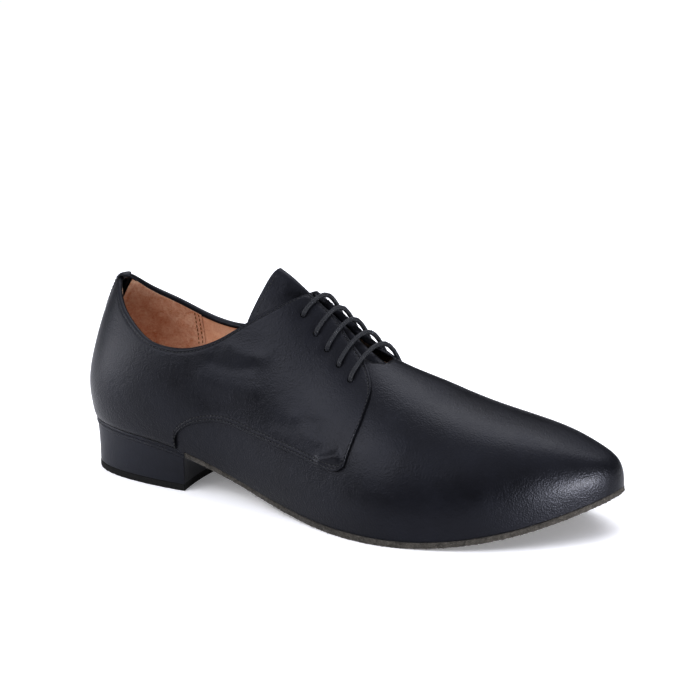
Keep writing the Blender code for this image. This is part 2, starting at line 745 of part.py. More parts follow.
def main():
    for obj in list(bpy.data.objects):
        bpy.data.objects.remove(obj, do_unlink=True)
    shoe = bpy.data.collections.new("ballroom_dance_shoe")
    cutters = bpy.data.collections.new("cutters")
    for collection in (shoe, cutters):
        bpy.context.scene.collection.children.link(collection)
    leather = finish_of("black smooth leather", (0.012, 0.013, 0.018), 0.42)
    suede = finish_of("grey chrome suede", (0.20, 0.17, 0.14), 0.95)
    lining = finish_of("tan suede lining", (0.55, 0.30, 0.16), 0.9)
    rubber = finish_of("black rubber", (0.02, 0.02, 0.02), 0.8)
    cord = finish_of("black waxed cord", (0.012, 0.013, 0.018), 0.6)

    upper = build_upper(leather, shoe)
    quarters = [
        build_quarter("quarter_lateral", LATERAL, leather, shoe),
        build_quarter("quarter_medial", MEDIAL, leather, shoe),
    ]
    pins = build_hole_cutters(cutters)
    for piece in [upper, *quarters]:
        cut(piece, pins)
    build_back_strip(leather, shoe)
    build_tongue(leather, shoe)
    build_lace(cord, shoe)
    build_insole(lining, shoe)
    build_outsole(suede, shoe)
    build_heel(leather, shoe)
    build_top_lift(rubber, shoe)


main()
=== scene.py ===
"""Dresses the ballroom dance shoe in leather, suede, lining and cord, and sets its floor, light and camera.

Lengths are millimetres in the shoe's own frame: X from the heel's back to the toe, Y to the inner side of
this right shoe, Z up from the floor. to_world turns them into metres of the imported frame.
"""

import logging
import math
from collections import namedtuple
from collections.abc import Callable
from dataclasses import dataclass, field
from enum import Enum

import bmesh
import bpy
import numpy as np
from mathutils import Matrix, Vector


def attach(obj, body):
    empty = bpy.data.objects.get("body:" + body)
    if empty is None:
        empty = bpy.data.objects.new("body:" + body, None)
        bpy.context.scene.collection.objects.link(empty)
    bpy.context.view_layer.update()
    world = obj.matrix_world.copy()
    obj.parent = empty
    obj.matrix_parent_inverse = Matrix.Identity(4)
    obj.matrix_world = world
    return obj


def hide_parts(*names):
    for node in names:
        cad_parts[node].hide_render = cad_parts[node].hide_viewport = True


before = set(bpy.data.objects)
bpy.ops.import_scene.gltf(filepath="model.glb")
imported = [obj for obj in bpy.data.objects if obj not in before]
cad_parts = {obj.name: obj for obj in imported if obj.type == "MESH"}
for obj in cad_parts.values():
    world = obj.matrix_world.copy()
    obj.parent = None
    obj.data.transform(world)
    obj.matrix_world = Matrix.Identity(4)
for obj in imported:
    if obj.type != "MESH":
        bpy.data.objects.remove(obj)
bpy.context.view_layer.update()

MM = 0.001
WELD = 0.02
LOG = logging.getLogger("shoe")

Tree = bpy.types.NodeTree
Node = bpy.types.Node
Socket = bpy.types.NodeSocket
Material = bpy.types.Material
Object = bpy.types.Object


class Side(Enum):
    """The two sides of this right shoe, with the direction of each along Y."""

    OUTER = -1
    INNER = 1


# Each row is a cross section of the last. at, axis and the heights are shares of length, of half the ball's
# width and of the instep's height. The four widths are shares of half the ball's width before the ends are
# drawn in. shoulder and crown are shares of the belly's width, the two up columns of the section's height.
Section = namedtuple(
    "Section",
    "at axis feather_out feather_in belly_out belly_in belly_up shoulder shoulder_up crown ridge",
)
SECTIONS = [
    Section(0.00, 0.000, 1.280, 1.280, 1.360, 1.360, 0.38, 0.48, 0.78, 0.16, 0.900),
    Section(0.04, 0.000, 1.090, 1.090, 1.190, 1.190, 0.38, 0.48, 0.78, 0.16, 0.905),
    Section(0.12, 0.000, 0.890, 0.890, 0.980, 0.980, 0.39, 0.50, 0.78, 0.16, 0.940),
    Section(0.22, 0.000, 0.746, 0.710, 0.829, 0.793, 0.39, 0.52, 0.78, 0.16, 1.020),
    Section(0.32, 0.000, 0.668, 0.546, 0.757, 0.694, 0.36, 0.57, 0.76, 0.16, 1.130),
    Section(0.42, 0.000, 0.745, 0.507, 0.815, 0.685, 0.33, 0.57, 0.75, 0.16, 1.075),
    Section(0.50, 0.010, 0.873, 0.588, 0.922, 0.725, 0.32, 0.57, 0.74, 0.14, 0.948),
    Section(0.58, 0.020, 1.023, 0.755, 1.043, 0.825, 0.32, 0.68, 0.74, 0.24, 0.797),
    Section(0.66, 0.039, 1.139, 0.932, 1.149, 0.963, 0.32, 0.74, 0.76, 0.32, 0.727),
    Section(0.74, 0.078, 1.174, 1.017, 1.174, 1.028, 0.34, 0.76, 0.78, 0.35, 0.683),
    Section(0.82, 0.137, 1.174, 1.047, 1.174, 1.047, 0.36, 0.78, 0.80, 0.38, 0.658),
    Section(0.90, 0.216, 1.111, 1.029, 1.111, 1.029, 0.38, 0.78, 0.82, 0.40, 0.640),
    Section(0.96, 0.284, 0.975, 0.950, 0.975, 0.950, 0.40, 0.78, 0.84, 0.42, 0.630),
    Section(1.00, 0.343, 0.900, 0.900, 0.900, 0.900, 0.40, 0.78, 0.85, 0.42, 0.760),
]

# Underside of the sole: at as a share of length, height as a share of the heel seat's height.
Rise = namedtuple("Rise", "at height")
UNDERSIDE = [
    Rise(0.00, 1.010),
    Rise(0.04, 0.985),
    Rise(0.12, 0.925),
    Rise(0.22, 0.795),
    Rise(0.32, 0.478),
    Rise(0.42, 0.188),
    Rise(0.50, 0.049),
    Rise(0.57, -0.002),
    Rise(0.64, -0.010),
    Rise(0.70, -0.002),
    Rise(0.76, 0.041),
    Rise(0.82, 0.139),
    Rise(0.90, 0.360),
    Rise(0.96, 0.605),
    Rise(1.00, 0.810),
]

# How far the heel's back leans towards the toe: height as a share of the top's height, lean of the length.
Lean = namedtuple("Lean", "height lean")
BACK = [
    Lean(0.20, 0.003),
    Lean(0.29, 0.001),
    Lean(0.36, -0.003),
    Lean(0.44, -0.006),
    Lean(0.54, -0.003),
    Lean(0.67, 0.007),
    Lean(0.83, 0.023),
    Lean(0.96, 0.042),
    Lean(1.02, 0.052),
    Lean(1.20, 0.078),
]

# Collar edge: at as a share of length, heights of the outer and inner edge as shares of the top's height.
Edge = namedtuple("Edge", "at outer inner")
COLLAR = [
    Edge(0.000, 1.000, 1.000),
    Edge(0.019, 0.972, 0.978),
    Edge(0.064, 0.884, 0.905),
    Edge(0.118, 0.803, 0.838),
    Edge(0.165, 0.750, 0.778),
    Edge(0.207, 0.738, 0.745),
    Edge(0.243, 0.746, 0.738),
    Edge(0.275, 0.771, 0.755),
    Edge(0.306, 0.811, 0.800),
    Edge(0.334, 0.862, 0.856),
    Edge(0.360, 0.912, 0.908),
    Edge(0.385, 0.956, 0.953),
    Edge(0.410, 0.996, 0.990),
    Edge(0.434, 1.026, 1.020),
    Edge(0.460, 1.040, 1.036),
]

# Throat slot of the vamp: at as a share of length, reach from the ridge as a share of half the ball's width.
Slot = namedtuple("Slot", "at reach")
THROAT = [Slot(0.440, 0.115), Slot(0.500, 0.150), Slot(0.545, 0.190), Slot(0.575, 0.150), Slot(0.592, 0.050)]

# Outline of a quarter from the heel's back to its front edge, as pairs of places that face each other: at on
# the upper and the lower side, reach of the facing's edge from the ridge, height of the lower side.
Pair = namedtuple("Pair", "top_at reach seam_at height")
FACING = 0.060
QUARTER_BACK = [
    Pair(0.00002, FACING, 0.00002, 0),
    Pair(0.03000, FACING, 0.03000, 0),
    Pair(0.12000, FACING, 0.12000, 0),
    Pair(0.21500, FACING, 0.22530, 0),
]
QUARTER_WAIST = [
    Pair(0.215, FACING, 0.2253, 0.225),
    Pair(0.240, FACING, 0.2264, 0.285),
    Pair(0.266, FACING, 0.2380, 0.331),
    Pair(0.296, FACING, 0.2620, 0.376),
    Pair(0.328, FACING, 0.2940, 0.405),
    Pair(0.360, FACING, 0.3285, 0.417),
    Pair(0.394, FACING, 0.3620, 0.407),
    Pair(0.428, FACING, 0.4000, 0.386),
    Pair(0.460, FACING, 0.4380, 0.367),
]
QUARTER_FRONT = [
    Pair(0.460, FACING, 0.4380, 0.367),
    Pair(0.493, 0.075, 0.4646, 0.355),
    Pair(0.521, 0.130, 0.4900, 0.342),
    Pair(0.546, 0.180, 0.5150, 0.330),
    Pair(0.566, 0.240, 0.5380, 0.318),
    Pair(0.583, 0.325, 0.5550, 0.310),
    Pair(0.596, 0.430, 0.5700, 0.308),
    Pair(0.602, 0.560, 0.5820, 0.316),
    Pair(0.602, 0.720, 0.5920, 0.338),
]

# Lace holes: at on the outer and the inner side, reach from the ridge.
Hole = namedtuple("Hole", "outer inner reach")
HOLES = [
    Hole(0.446, 0.472, 0.225),
    Hole(0.475, 0.498, 0.275),
    Hole(0.501, 0.521, 0.320),
    Hole(0.529, 0.546, 0.375),
    Hole(0.557, 0.570, 0.440),
]

# Tongue: reach of its sides and of its raised middle, and how deep it lies, as shares of the upper's wall.
Flap = namedtuple("Flap", "at reach crown middle side")
TONGUE = [
    Flap(0.345, 0.40, 0.20, 0.00, 2.0),
    Flap(0.400, 0.42, 0.16, 0.20, 2.4),
    Flap(0.430, 0.45, 0.12, 0.60, 2.8),
    Flap(0.455, 0.48, 0.11, 1.00, 3.4),
    Flap(0.520, 0.54, 0.12, 1.20, 3.5),
    Flap(0.560, 0.58, 0.14, 1.50, 3.5),
    Flap(0.590, 0.58, 0.14, 1.75, 3.2),
    Flap(0.615, 0.54, 0.14, 1.42, 1.9),
]

# How far the sole stands out past the feather line, in millimetres.
Ledge = namedtuple("Ledge", "at out")
LEDGE = [
    Ledge(0.00, -0.3),
    Ledge(0.22, -0.3),
    Ledge(0.36, -0.9),
    Ledge(0.50, 0.2),
    Ledge(0.60, 0.8),
    Ledge(0.90, 0.8),
    Ledge(1.00, 0.0),
]

# A soft trough (depth below 0) or ridge in the leather: three places along it, at as a share of length and
# height of the top's height, then its half width and depth in millimetres.
Crease = namedtuple("Crease", "side start middle end width depth")
CREASES = [
    Crease(Side.OUTER, (0.300, 0.70), (0.335, 0.67), (0.380, 0.70), 3.0, -0.5),
    Crease(Side.OUTER, (0.285, 0.62), (0.330, 0.58), (0.390, 0.60), 4.0, 0.4),
    Crease(Side.OUTER, (0.330, 0.78), (0.365, 0.74), (0.400, 0.75), 3.5, 0.5),
    Crease(Side.OUTER, (0.480, 0.50), (0.500, 0.44), (0.530, 0.42), 4.0, 0.5),
    Crease(Side.OUTER, (0.440, 0.47), (0.480, 0.46), (0.520, 0.49), 3.5, -0.45),
    Crease(Side.OUTER, (0.300, 0.50), (0.350, 0.52), (0.420, 0.49), 5.0, -0.35),
    Crease(Side.OUTER, (0.545, 0.345), (0.560, 0.36), (0.575, 0.375), 2.5, 1.1),
    Crease(Side.INNER, (0.300, 0.66), (0.350, 0.62), (0.400, 0.66), 4.0, -0.4),
    Crease(Side.INNER, (0.430, 0.50), (0.480, 0.46), (0.530, 0.48), 4.0, 0.4),
]


def smooth_spline(at: np.ndarray, values: np.ndarray, level_ends: bool = True) -> Callable:
    """A cubic spline through values, level or unbent at both ends.

    Args:
        at: Places of the values, growing.
        values: Values to run through.
        level_ends: True for level ends, False for unbent ones.

    Returns:
        The spline as a function of a place or an array of places.
    """
    at = np.asarray(at, float)
    values = np.asarray(values, float)
    step = np.diff(at)
    count = len(at)
    matrix = np.zeros((count, count))
    right = np.zeros(count)
    slope = np.diff(values) / step
    matrix[0, :2] = 2 * step[0], step[0]
    right[0] = 6 * slope[0]
    matrix[-1, -2:] = step[-1], 2 * step[-1]
    right[-1] = -6 * slope[-1]
    for row in range(1, count - 1):
        matrix[row, row - 1 : row + 2] = step[row - 1], 2 * (step[row - 1] + step[row]), step[row]
        right[row] = 6 * (slope[row] - slope[row - 1])
    if not level_ends:
        matrix[0, :2] = 1, 0
        matrix[-1, -2:] = 0, 1
        right[0] = right[-1] = 0
    bend = np.linalg.solve(matrix, right)

    def value(x: np.ndarray) -> np.ndarray:
        """The spline's value at x."""
        x = np.clip(np.asarray(x, float), at[0], at[-1])
        i = np.clip(np.searchsorted(at, x) - 1, 0, count - 2)
        before = x - at[i]
        after = at[i + 1] - x
        cubic = (bend[i] * after**3 + bend[i + 1] * before**3) / (6 * step[i])
        left = (values[i] / step[i] - bend[i] * step[i] / 6) * after
        return cubic + left + (values[i + 1] / step[i] - bend[i + 1] * step[i] / 6) * before

    return value


def station(at: np.ndarray) -> np.ndarray:
    """The station, 0 at the heel's back and 1 at the toe's tip, of a share of the length."""
    return np.arccos(1 - 2 * np.asarray(at, float)) / np.pi


def along(table: list, column: str) -> Callable:
    """A column of a table as a smooth function of the station."""
    return smooth_spline(station([row.at for row in table]), [getattr(row, column) for row in table])


def between(table: list, column: str, at: np.ndarray) -> np.ndarray:
    """A column read off a table with straight lines between its rows."""
    return np.interp(at, [row.at for row in table], [getattr(row, column) for row in table])


def rounded(distance: np.ndarray, radius: float) -> np.ndarray:
    """Share of full thickness at a distance from a rounded edge."""
    near = 1 - np.clip(np.asarray(distance, float) / radius, 0, 1)
    return np.sqrt(np.clip(1 - near**2, 0, 1))


def smooth_step(value: np.ndarray, low: float, high: float) -> np.ndarray:
    """0 below low, 1 above high and a smooth rise between them."""
    share = np.clip((np.asarray(value, float) - low) / (high - low), 0, 1)
    return share * share * (3 - 2 * share)


@dataclass
class Ripple:
    """Smooth unevenness in space, the same on each run.

    Attributes:
        size: Typical distance between its bumps in millimetres.
        seed: Seed of its waves.
        waves: How many waves it adds up.
    """

    size: float
    seed: int
    waves: int = 24

    def at(self, points: np.ndarray) -> np.ndarray:
        """Values about -1 to 1 at points in millimetres."""
        random = np.random.default_rng(self.seed)
        way = random.normal(size=(self.waves, 3))
        way /= np.linalg.norm(way, axis=1, keepdims=True)
        pace = 2 * np.pi / self.size * random.uniform(0.6, 1.4, self.waves)
        phase = random.uniform(0, 2 * np.pi, self.waves)
        total = np.zeros(points.shape[:-1])
        for direction, rate, start in zip(way, pace, phase):
            total += np.sin(points @ direction * rate + start)
        return total / math.sqrt(self.waves / 2) / 1.6


@dataclass
class Last:
    """The form of the foot that the upper is drawn over, with sections worked out from a few sizes."""

    length: float = 288.0
    ball_width: float = 102.0
    instep: float = 94.0
    heel_seat: float = 24.5
    top_height: float = 101.5
    sole: float = 3.0
    sole_gap: float = 0.3
    lean_reach: float = 0.36
    bulge_start: float = 0.12
    seam_margin: float = 0.002
    heel_back: tuple[float, float, float] = (-142.0, 1.8, 0.0)

    def __post_init__(self) -> None:
        """Turns the tables' columns into smooth functions."""
        self.half = self.ball_width / 2
        self.section = {name: along(SECTIONS, name) for name in Section._fields}
        self.rise = along(UNDERSIDE, "height")
        heights = [row.height * self.top_height for row in BACK]
        self.lean = smooth_spline(heights, [row.lean * self.length for row in BACK])
        self.collar_height = {Side.OUTER: along(COLLAR, "outer"), Side.INNER: along(COLLAR, "inner")}
        self.creases = [self.crease_line(crease) for crease in CREASES]

    def to_world(self, points: np.ndarray) -> np.ndarray:
        """Points in millimetres of the shoe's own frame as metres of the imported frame."""
        return (np.asarray(points, float) + np.array(self.heel_back)) * MM

    def x_of(self, s: np.ndarray) -> np.ndarray:
        """Distance from the heel's back of a station."""
        return self.length / 2 * (1 - np.cos(np.pi * np.asarray(s, float)))

    def underside(self, s: np.ndarray) -> np.ndarray:
        """Height of the sole's underside, flat on the floor under the ball."""
        return np.maximum(self.heel_seat * self.rise(s), 0.0)

    def feather(self, s: np.ndarray) -> np.ndarray:
        """Height of the line where the upper meets the sole."""
        return self.underside(s) + self.sole + self.sole_gap

    def basis(self, v: np.ndarray) -> list[np.ndarray]:
        """Weights of a section's six control points, those of a clamped cubic B-spline."""
        knots = np.array([0, 0, 0, 0, 1, 2, 3, 3, 3, 3], float)
        u = np.minimum(np.clip(np.asarray(v, float), 0, 1) * 3, 3 - 1e-9)
        weights = [np.where((knots[i] <= u) & (u < knots[i + 1]), 1.0, 0.0) for i in range(9)]
        for degree in (1, 2, 3):
            for i in range(9 - degree):
                left = knots[i + degree] - knots[i]
                right = knots[i + degree + 1] - knots[i + 1]
                first = (u - knots[i]) / left * weights[i] if left else 0
                second = (knots[i + degree + 1] - u) / right * weights[i + 1] if right else 0
                weights[i] = first + second
        return weights[:6]

    def point(self, side: Side, s: np.ndarray, v: np.ndarray) -> np.ndarray:
        """Points of the last: v runs from the feather line (0) up to the ridge (1)."""
        s, v = np.broadcast_arrays(np.asarray(s, float), np.asarray(v, float))
        ends = np.sin(np.pi * s)
        drawn_in = np.where(s < 0.5, 1.0, ends)
        tag = "out" if side is Side.OUTER else "in"
        foot = self.half * ends * self.section["feather_" + tag](s)
        belly = self.half * ends * self.section["belly_" + tag](s)
        height = self.instep * self.section["ridge"](s) * drawn_in
        shoulder = belly * self.section["shoulder"](s)
        widths = [foot, belly, belly, shoulder, belly * self.section["crown"](s), 0 * s]
        belly_up = self.section["belly_up"](s)
        shoulder_up = self.section["shoulder_up"](s)
        rises = [0 * s, self.bulge_start + 0 * s, belly_up, shoulder_up, 1 + 0 * s, 1 + 0 * s]
        weights = self.basis(v)
        y = sum(weight * width for weight, width in zip(weights, widths))
        z = self.feather(s) + height * sum(weight * rise for weight, rise in zip(weights, rises))
        fade = np.clip(1 - self.x_of(s) / (self.lean_reach * self.length), 0, 1) ** 2
        x = self.x_of(s) + self.lean(z) * fade
        return np.stack([x, self.half * self.section["axis"](s) + side.value * y, z], -1)

    def normal(self, side: Side, s: np.ndarray, v: np.ndarray) -> np.ndarray:
        """Directions straight out of the last's surface."""
        s, v = np.broadcast_arrays(np.asarray(s, float), np.asarray(v, float))
        margin = self.seam_margin
        step = margin / 4
        near_s = np.clip(s, 2 * margin, 1 - 2 * margin)
        near_v = np.clip(v, margin, 1 - margin)
        by_s = self.point(side, near_s + step, near_v) - self.point(side, near_s - step, near_v)
        by_v = self.point(side, near_s, near_v + step) - self.point(side, near_s, near_v - step)
        normal = np.cross(by_s, by_v) * -side.value
        normal /= np.linalg.norm(normal, axis=-1, keepdims=True)
        on_seam = (s < 2 * margin) | (v > 1 - margin)
        normal[..., 1] = np.where(on_seam, 0, normal[..., 1])
        return normal / np.linalg.norm(normal, axis=-1, keepdims=True)

    def surface(self, side: Side, s: np.ndarray, v: np.ndarray, lift: np.ndarray) -> np.ndarray:
        """Points over the last's surface, lifted along its normal."""
        s, v, lift = np.broadcast_arrays(*(np.asarray(value, float) for value in (s, v, lift)))
        return self.point(side, s, v) + self.normal(side, s, v) * lift[..., None]

    def solve(self, value: Callable, target: np.ndarray, low: float = 0.0, high: float = 1.0) -> np.ndarray:
        """The place at which a value that grows with it reaches the target."""
        low = np.full_like(np.asarray(target, float), low)
        high = np.full_like(low, high)
        for _ in range(36):
            middle = (low + high) / 2
            below = value(middle) < target
            low = np.where(below, middle, low)
            high = np.where(below, high, middle)
        return (low + high) / 2

    def at_height(self, side: Side, s: np.ndarray, z: np.ndarray) -> np.ndarray:
        """The v of the place at height z on station s."""
        return self.solve(lambda v: self.point(side, s, v)[..., 2], np.asarray(z, float) + 0 * s)

    def at_reach(self, side: Side, s: np.ndarray, reach: np.ndarray) -> np.ndarray:
        """The v of the upper place that lies this far from the ridge, measured across the shoe."""
        middle = self.half * self.section["axis"](s)
        target = -(np.asarray(reach, float) + 0 * s)
        return self.solve(lambda v: -abs(self.point(side, s, v)[..., 1] - middle), target, 0.4)

    def top_edge(self, side: Side, s: np.ndarray, reach: np.ndarray) -> np.ndarray:
        """The v of an edge that follows the collar, then stays this far from the ridge."""
        collar = self.at_height(side, s, self.collar_height[side](s) * self.top_height)
        return np.minimum(collar, self.at_reach(side, s, reach))

    def vamp_edge(self, side: Side, s: np.ndarray) -> np.ndarray:
        """The v of the upper's top edge: the collar, then the throat slot, then the closed ridge."""
        at = self.x_of(s) / self.length
        edge = self.top_edge(side, s, self.half * between(THROAT, "reach", at))
        return np.where(at > THROAT[-1].at, 1.0, edge)

    def girth(self, side: Side, s: np.ndarray, edge: np.ndarray) -> np.ndarray:
        """Length of a section from the feather line up to its edge, as a column."""
        line = self.point(side, s, edge * np.linspace(0, 1, 20))
        return np.linalg.norm(np.diff(line, axis=1), axis=-1).sum(1)[:, None]

    def crease_line(self, crease: Crease, steps: int = 16) -> np.ndarray:
        """Points along a crease, on the last's surface."""
        share = np.linspace(0, 1, steps)[:, None]
        start, middle, end = (np.array(place) for place in (crease.start, crease.middle, crease.end))
        place = (1 - share) ** 2 * start + 2 * share * (1 - share) * middle + share**2 * end
        s = station(place[:, 0])
        return self.point(crease.side, s, self.at_height(crease.side, s, place[:, 1] * self.top_height))

    def wrinkles(self, points: np.ndarray) -> np.ndarray:
        """How far the creases raise the leather at points of the last's surface."""
        total = np.zeros(points.shape[:-1])
        for crease, line in zip(CREASES, self.creases):
            near = np.full(total.shape, np.inf)
            for place in line:
                near = np.minimum(near, np.linalg.norm(points - place, axis=-1))
            total += crease.depth * np.exp(-((near / crease.width) ** 2))
        return total

    def plan(self, side: Side, s: np.ndarray, out: np.ndarray) -> np.ndarray:
        """Plan of the feather line, moved outwards."""
        s = np.asarray(s, float)
        small = 1e-4
        low = np.clip(s, 2 * small, 1 - 2 * small)
        along_it = self.point(side, low + small, 0.0) - self.point(side, low - small, 0.0)
        across = np.stack([-along_it[..., 1], along_it[..., 0]], -1)
        across /= np.linalg.norm(across, axis=-1, keepdims=True)
        return self.point(side, s, 0.0)[..., :2] + side.value * across * np.asarray(out)[..., None]

    def loop(self, marks: np.ndarray, out: np.ndarray) -> np.ndarray:
        """Plan of the feather line right round: the outer side forwards, then the inner side back."""
        outer = self.plan(Side.OUTER, marks, out)
        inner = self.plan(Side.INNER, marks, out)
        outer[marks == 0, 1] = inner[marks == 0, 1] = self.section["axis"](0) * self.half
        outer[marks == 1, 1] = inner[marks == 1, 1] = self.section["axis"](1) * self.half
        return np.concatenate([outer, inner[-2:0:-1]])


def linked(obj: Object) -> Object:
    """Puts an object into the scene."""
    bpy.context.scene.collection.objects.link(obj)
    return obj


def make_mesh(name: str, points: np.ndarray, faces: list, last: Last, crease_angle: float = 50.0) -> Object:
    """A smooth-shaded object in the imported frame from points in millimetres.

    Args:
        name: Name of the object.
        points: Points in the shoe's own frame.
        faces: Corners of each face.
        last: The last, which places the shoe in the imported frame.
        crease_angle: Edges that turn more than these degrees stay sharp.

    Returns:
        The new object, with its faces turned outwards.
    """
    mesh = bpy.data.meshes.new(name)
    mesh.from_pydata(last.to_world(np.asarray(points).reshape(-1, 3)).tolist(), [], faces)
    shape = bmesh.new()
    shape.from_mesh(mesh)
    bmesh.ops.remove_doubles(shape, verts=shape.verts, dist=WELD * MM)
    bmesh.ops.dissolve_degenerate(shape, edges=shape.edges, dist=0.001 * MM)
    bmesh.ops.recalc_face_normals(shape, faces=shape.faces)
    shape.to_mesh(mesh)
    shape.free()
    mesh.polygons.foreach_set("use_smooth", [True] * len(mesh.polygons))
    mesh.set_sharp_from_angle(angle=math.radians(crease_angle))
    return linked(bpy.data.objects.new(name, mesh))


def grid_faces(rows: int, columns: int, start: int = 0, closed: bool = False) -> list[tuple[int, ...]]:
    """Quads over a grid of points listed row by row, closed across its columns if asked."""
    faces = []
    for row in range(rows - 1):
        for column in range(columns if closed else columns - 1):
            after = (column + 1) % columns
            low = start + row * columns
            faces.append((low + column, low + after, low + columns + after, low + columns + column))
    return faces


def slab(name: str, top: np.ndarray, bottom: np.ndarray, last: Last, crease_angle: float = 50.0) -> Object:
    """A closed solid between two grids of points with the same rows and columns."""
    rows, columns = top.shape[:2]
    under = rows * columns
    faces = grid_faces(rows, columns) + [face[::-1] for face in grid_faces(rows, columns, start=under)]
    rim = list(range(columns))
    rim += [row * columns + columns - 1 for row in range(1, rows)]
    rim += [under - 1 - column for column in range(1, columns)]
    rim += [row * columns for row in range(rows - 2, 0, -1)]
    for here, after in zip(rim, rim[1:] + rim[:1]):
        faces.append((after, here, here + under, after + under))
    points = np.concatenate([top.reshape(-1, 3), bottom.reshape(-1, 3)])
    return make_mesh(name, points, faces, last, crease_angle)


def swept(name: str, rings: np.ndarray, last: Last, capped: bool, crease_angle: float = 50.0) -> Object:
    """A tube through closed rings of points, capped at both ends or joined to itself."""
    count, size = rings.shape[:2]
    if capped:
        faces = grid_faces(count, size, closed=True)
        faces += [tuple(range(size))[::-1], tuple((count - 1) * size + i for i in range(size))]
    else:
        wrapped = grid_faces(count + 1, size, closed=True)
        faces = [tuple(i % (count * size) for i in face) for face in wrapped]
    return make_mesh(name, rings.reshape(-1, 3), faces, last, crease_angle)


def dress(obj: Object, material: Material, nodes: tuple[str, ...] = ()) -> None:
    """Gives a piece its material and its place in the frame.

    Args:
        obj: The piece, with its final mesh.
        material: The finish it wears.
        nodes: The CAD nodes that it stands for.
    """
    if material and not obj.data.materials:
        obj.data.materials.append(material)
    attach(obj, "root")
    if nodes:
        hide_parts(*nodes)
    LOG.info("%s: %d faces", obj.name, len(obj.data.polygons))


def add(tree: Tree, kind: str, inputs: dict | None = None, **settings: object) -> Node:
    """Adds a node with its settings, and with a value or a link for each input named.

    Args:
        tree: The tree it goes into.
        kind: The node's type.
        inputs: A value or a socket for each input, by name or number.
        settings: The node's own settings.

    Returns:
        The new node.
    """
    made = tree.nodes.new(kind)
    for name, value in settings.items():
        setattr(made, name, value)
    for name, value in (inputs or {}).items():
        if isinstance(value, Socket):
            tree.links.new(value, made.inputs[name])
        else:
            made.inputs[name].default_value = value
    return made


def linear(colour: str) -> tuple[float, float, float, float]:
    """An sRGB hex colour as linear red, green, blue and alpha."""
    parts = [int(colour[i : i + 2], 16) / 255 for i in (1, 3, 5)]
    return (*(part / 12.92 if part <= 0.04045 else ((part + 0.055) / 1.055) ** 2.4 for part in parts), 1.0)


def per_mm(size: float) -> float:
    """The scale of a pattern on coordinates in metres whose features are this many millimetres apart."""
    return 1.0 / (size * MM)


def start_tree(name: str, inputs: dict[str, str]) -> tuple[Tree, bpy.types.NodeOutputs]:
    """A new Geometry Nodes tree from geometry to geometry.

    Args:
        name: The tree's name.
        inputs: Kind of each further input, by its name.

    Returns:
        The tree, and the sockets that its inputs come in by.
    """
    tree = bpy.data.node_groups.new(name, "GeometryNodeTree")
    tree.interface.new_socket("Geometry", in_out="INPUT", socket_type="NodeSocketGeometry")
    for label, kind in inputs.items():
        tree.interface.new_socket(label, in_out="INPUT", socket_type="NodeSocket" + kind)
    tree.interface.new_socket("Geometry", in_out="OUTPUT", socket_type="NodeSocketGeometry")
    return tree, add(tree, "NodeGroupInput").outputs


def grow(obj: Object, tree: Tree, values: dict[str, object]) -> None:
    """Gives an object a Geometry Nodes tree, with a value for each of the tree's named inputs."""
    modifier = obj.modifiers.new(tree.name, "NODES")
    modifier.node_group = tree
    for item in tree.interface.items_tree:
        if item.in_out == "INPUT" and item.name in values:
            modifier[item.identifier] = values[item.name]


def start_material(name: str) -> tuple[Material, Tree, Node, Socket]:
    """A new material with its tree, its shader and the Object coordinates."""
    material = bpy.data.materials.new(name)
    material.use_nodes = True
    tree = material.node_tree
    shader = tree.nodes["Principled BSDF"]
    place = add(tree, "ShaderNodeTexCoord").outputs["Object"]
    return material, tree, shader, place


def blend_colour(tree: Tree, share: Socket, low: str, high: str) -> Socket:
    """A colour between two hex colours, by a share from 0 to 1."""
    ramp = add(tree, "ShaderNodeValToRGB", {"Fac": share})
    ramp.color_ramp.elements[0].color = linear(low)
    ramp.color_ramp.elements[1].color = linear(high)
    return ramp.outputs["Color"]


def spread_to(tree: Tree, value: Socket, low: float, high: float) -> Socket:
    """A pattern's middle range stretched to run from low to high."""
    settings = {"Value": value, "From Min": 0.3, "From Max": 0.7, "To Min": low, "To Max": high}
    return add(tree, "ShaderNodeMapRange", settings).outputs["Result"]


def colour(tree: Tree, shader: Node, share: Socket, low: str, high: str) -> None:
    """Colours a shader between two hex colours by a pattern's middle range."""
    mixed = blend_colour(tree, spread_to(tree, share, 0.0, 1.0), low, high)
    tree.links.new(mixed, shader.inputs["Base Color"])


def set_numbers(shader: Node, numbers: dict[str, object]) -> None:
    """Sets constants on a shader's own sockets."""
    for name, value in numbers.items():
        shader.inputs[name].default_value = value


def bump(tree: Tree, height: Socket, depth: float, under: Socket | None = None) -> Socket:
    """A bump of the given depth in millimetres, over another one if there is one."""
    inputs = {"Height": height, "Distance": depth * MM, "Strength": 1.0}
    if under:
        inputs["Normal"] = under
    return add(tree, "ShaderNodeBump", inputs).outputs["Normal"]


def noise(tree: Tree, place: Socket, size: float, detail: float = 3.0, rough: float = 0.55,
          distortion: float = 0.0) -> Socket:
    """Noise whose patches are about size millimetres across."""
    made = add(tree, "ShaderNodeTexNoise", {"Vector": place, "Scale": per_mm(size)})
    set_numbers(made, {"Detail": detail, "Roughness": rough, "Distortion": distortion})
    return made.outputs["Fac"]


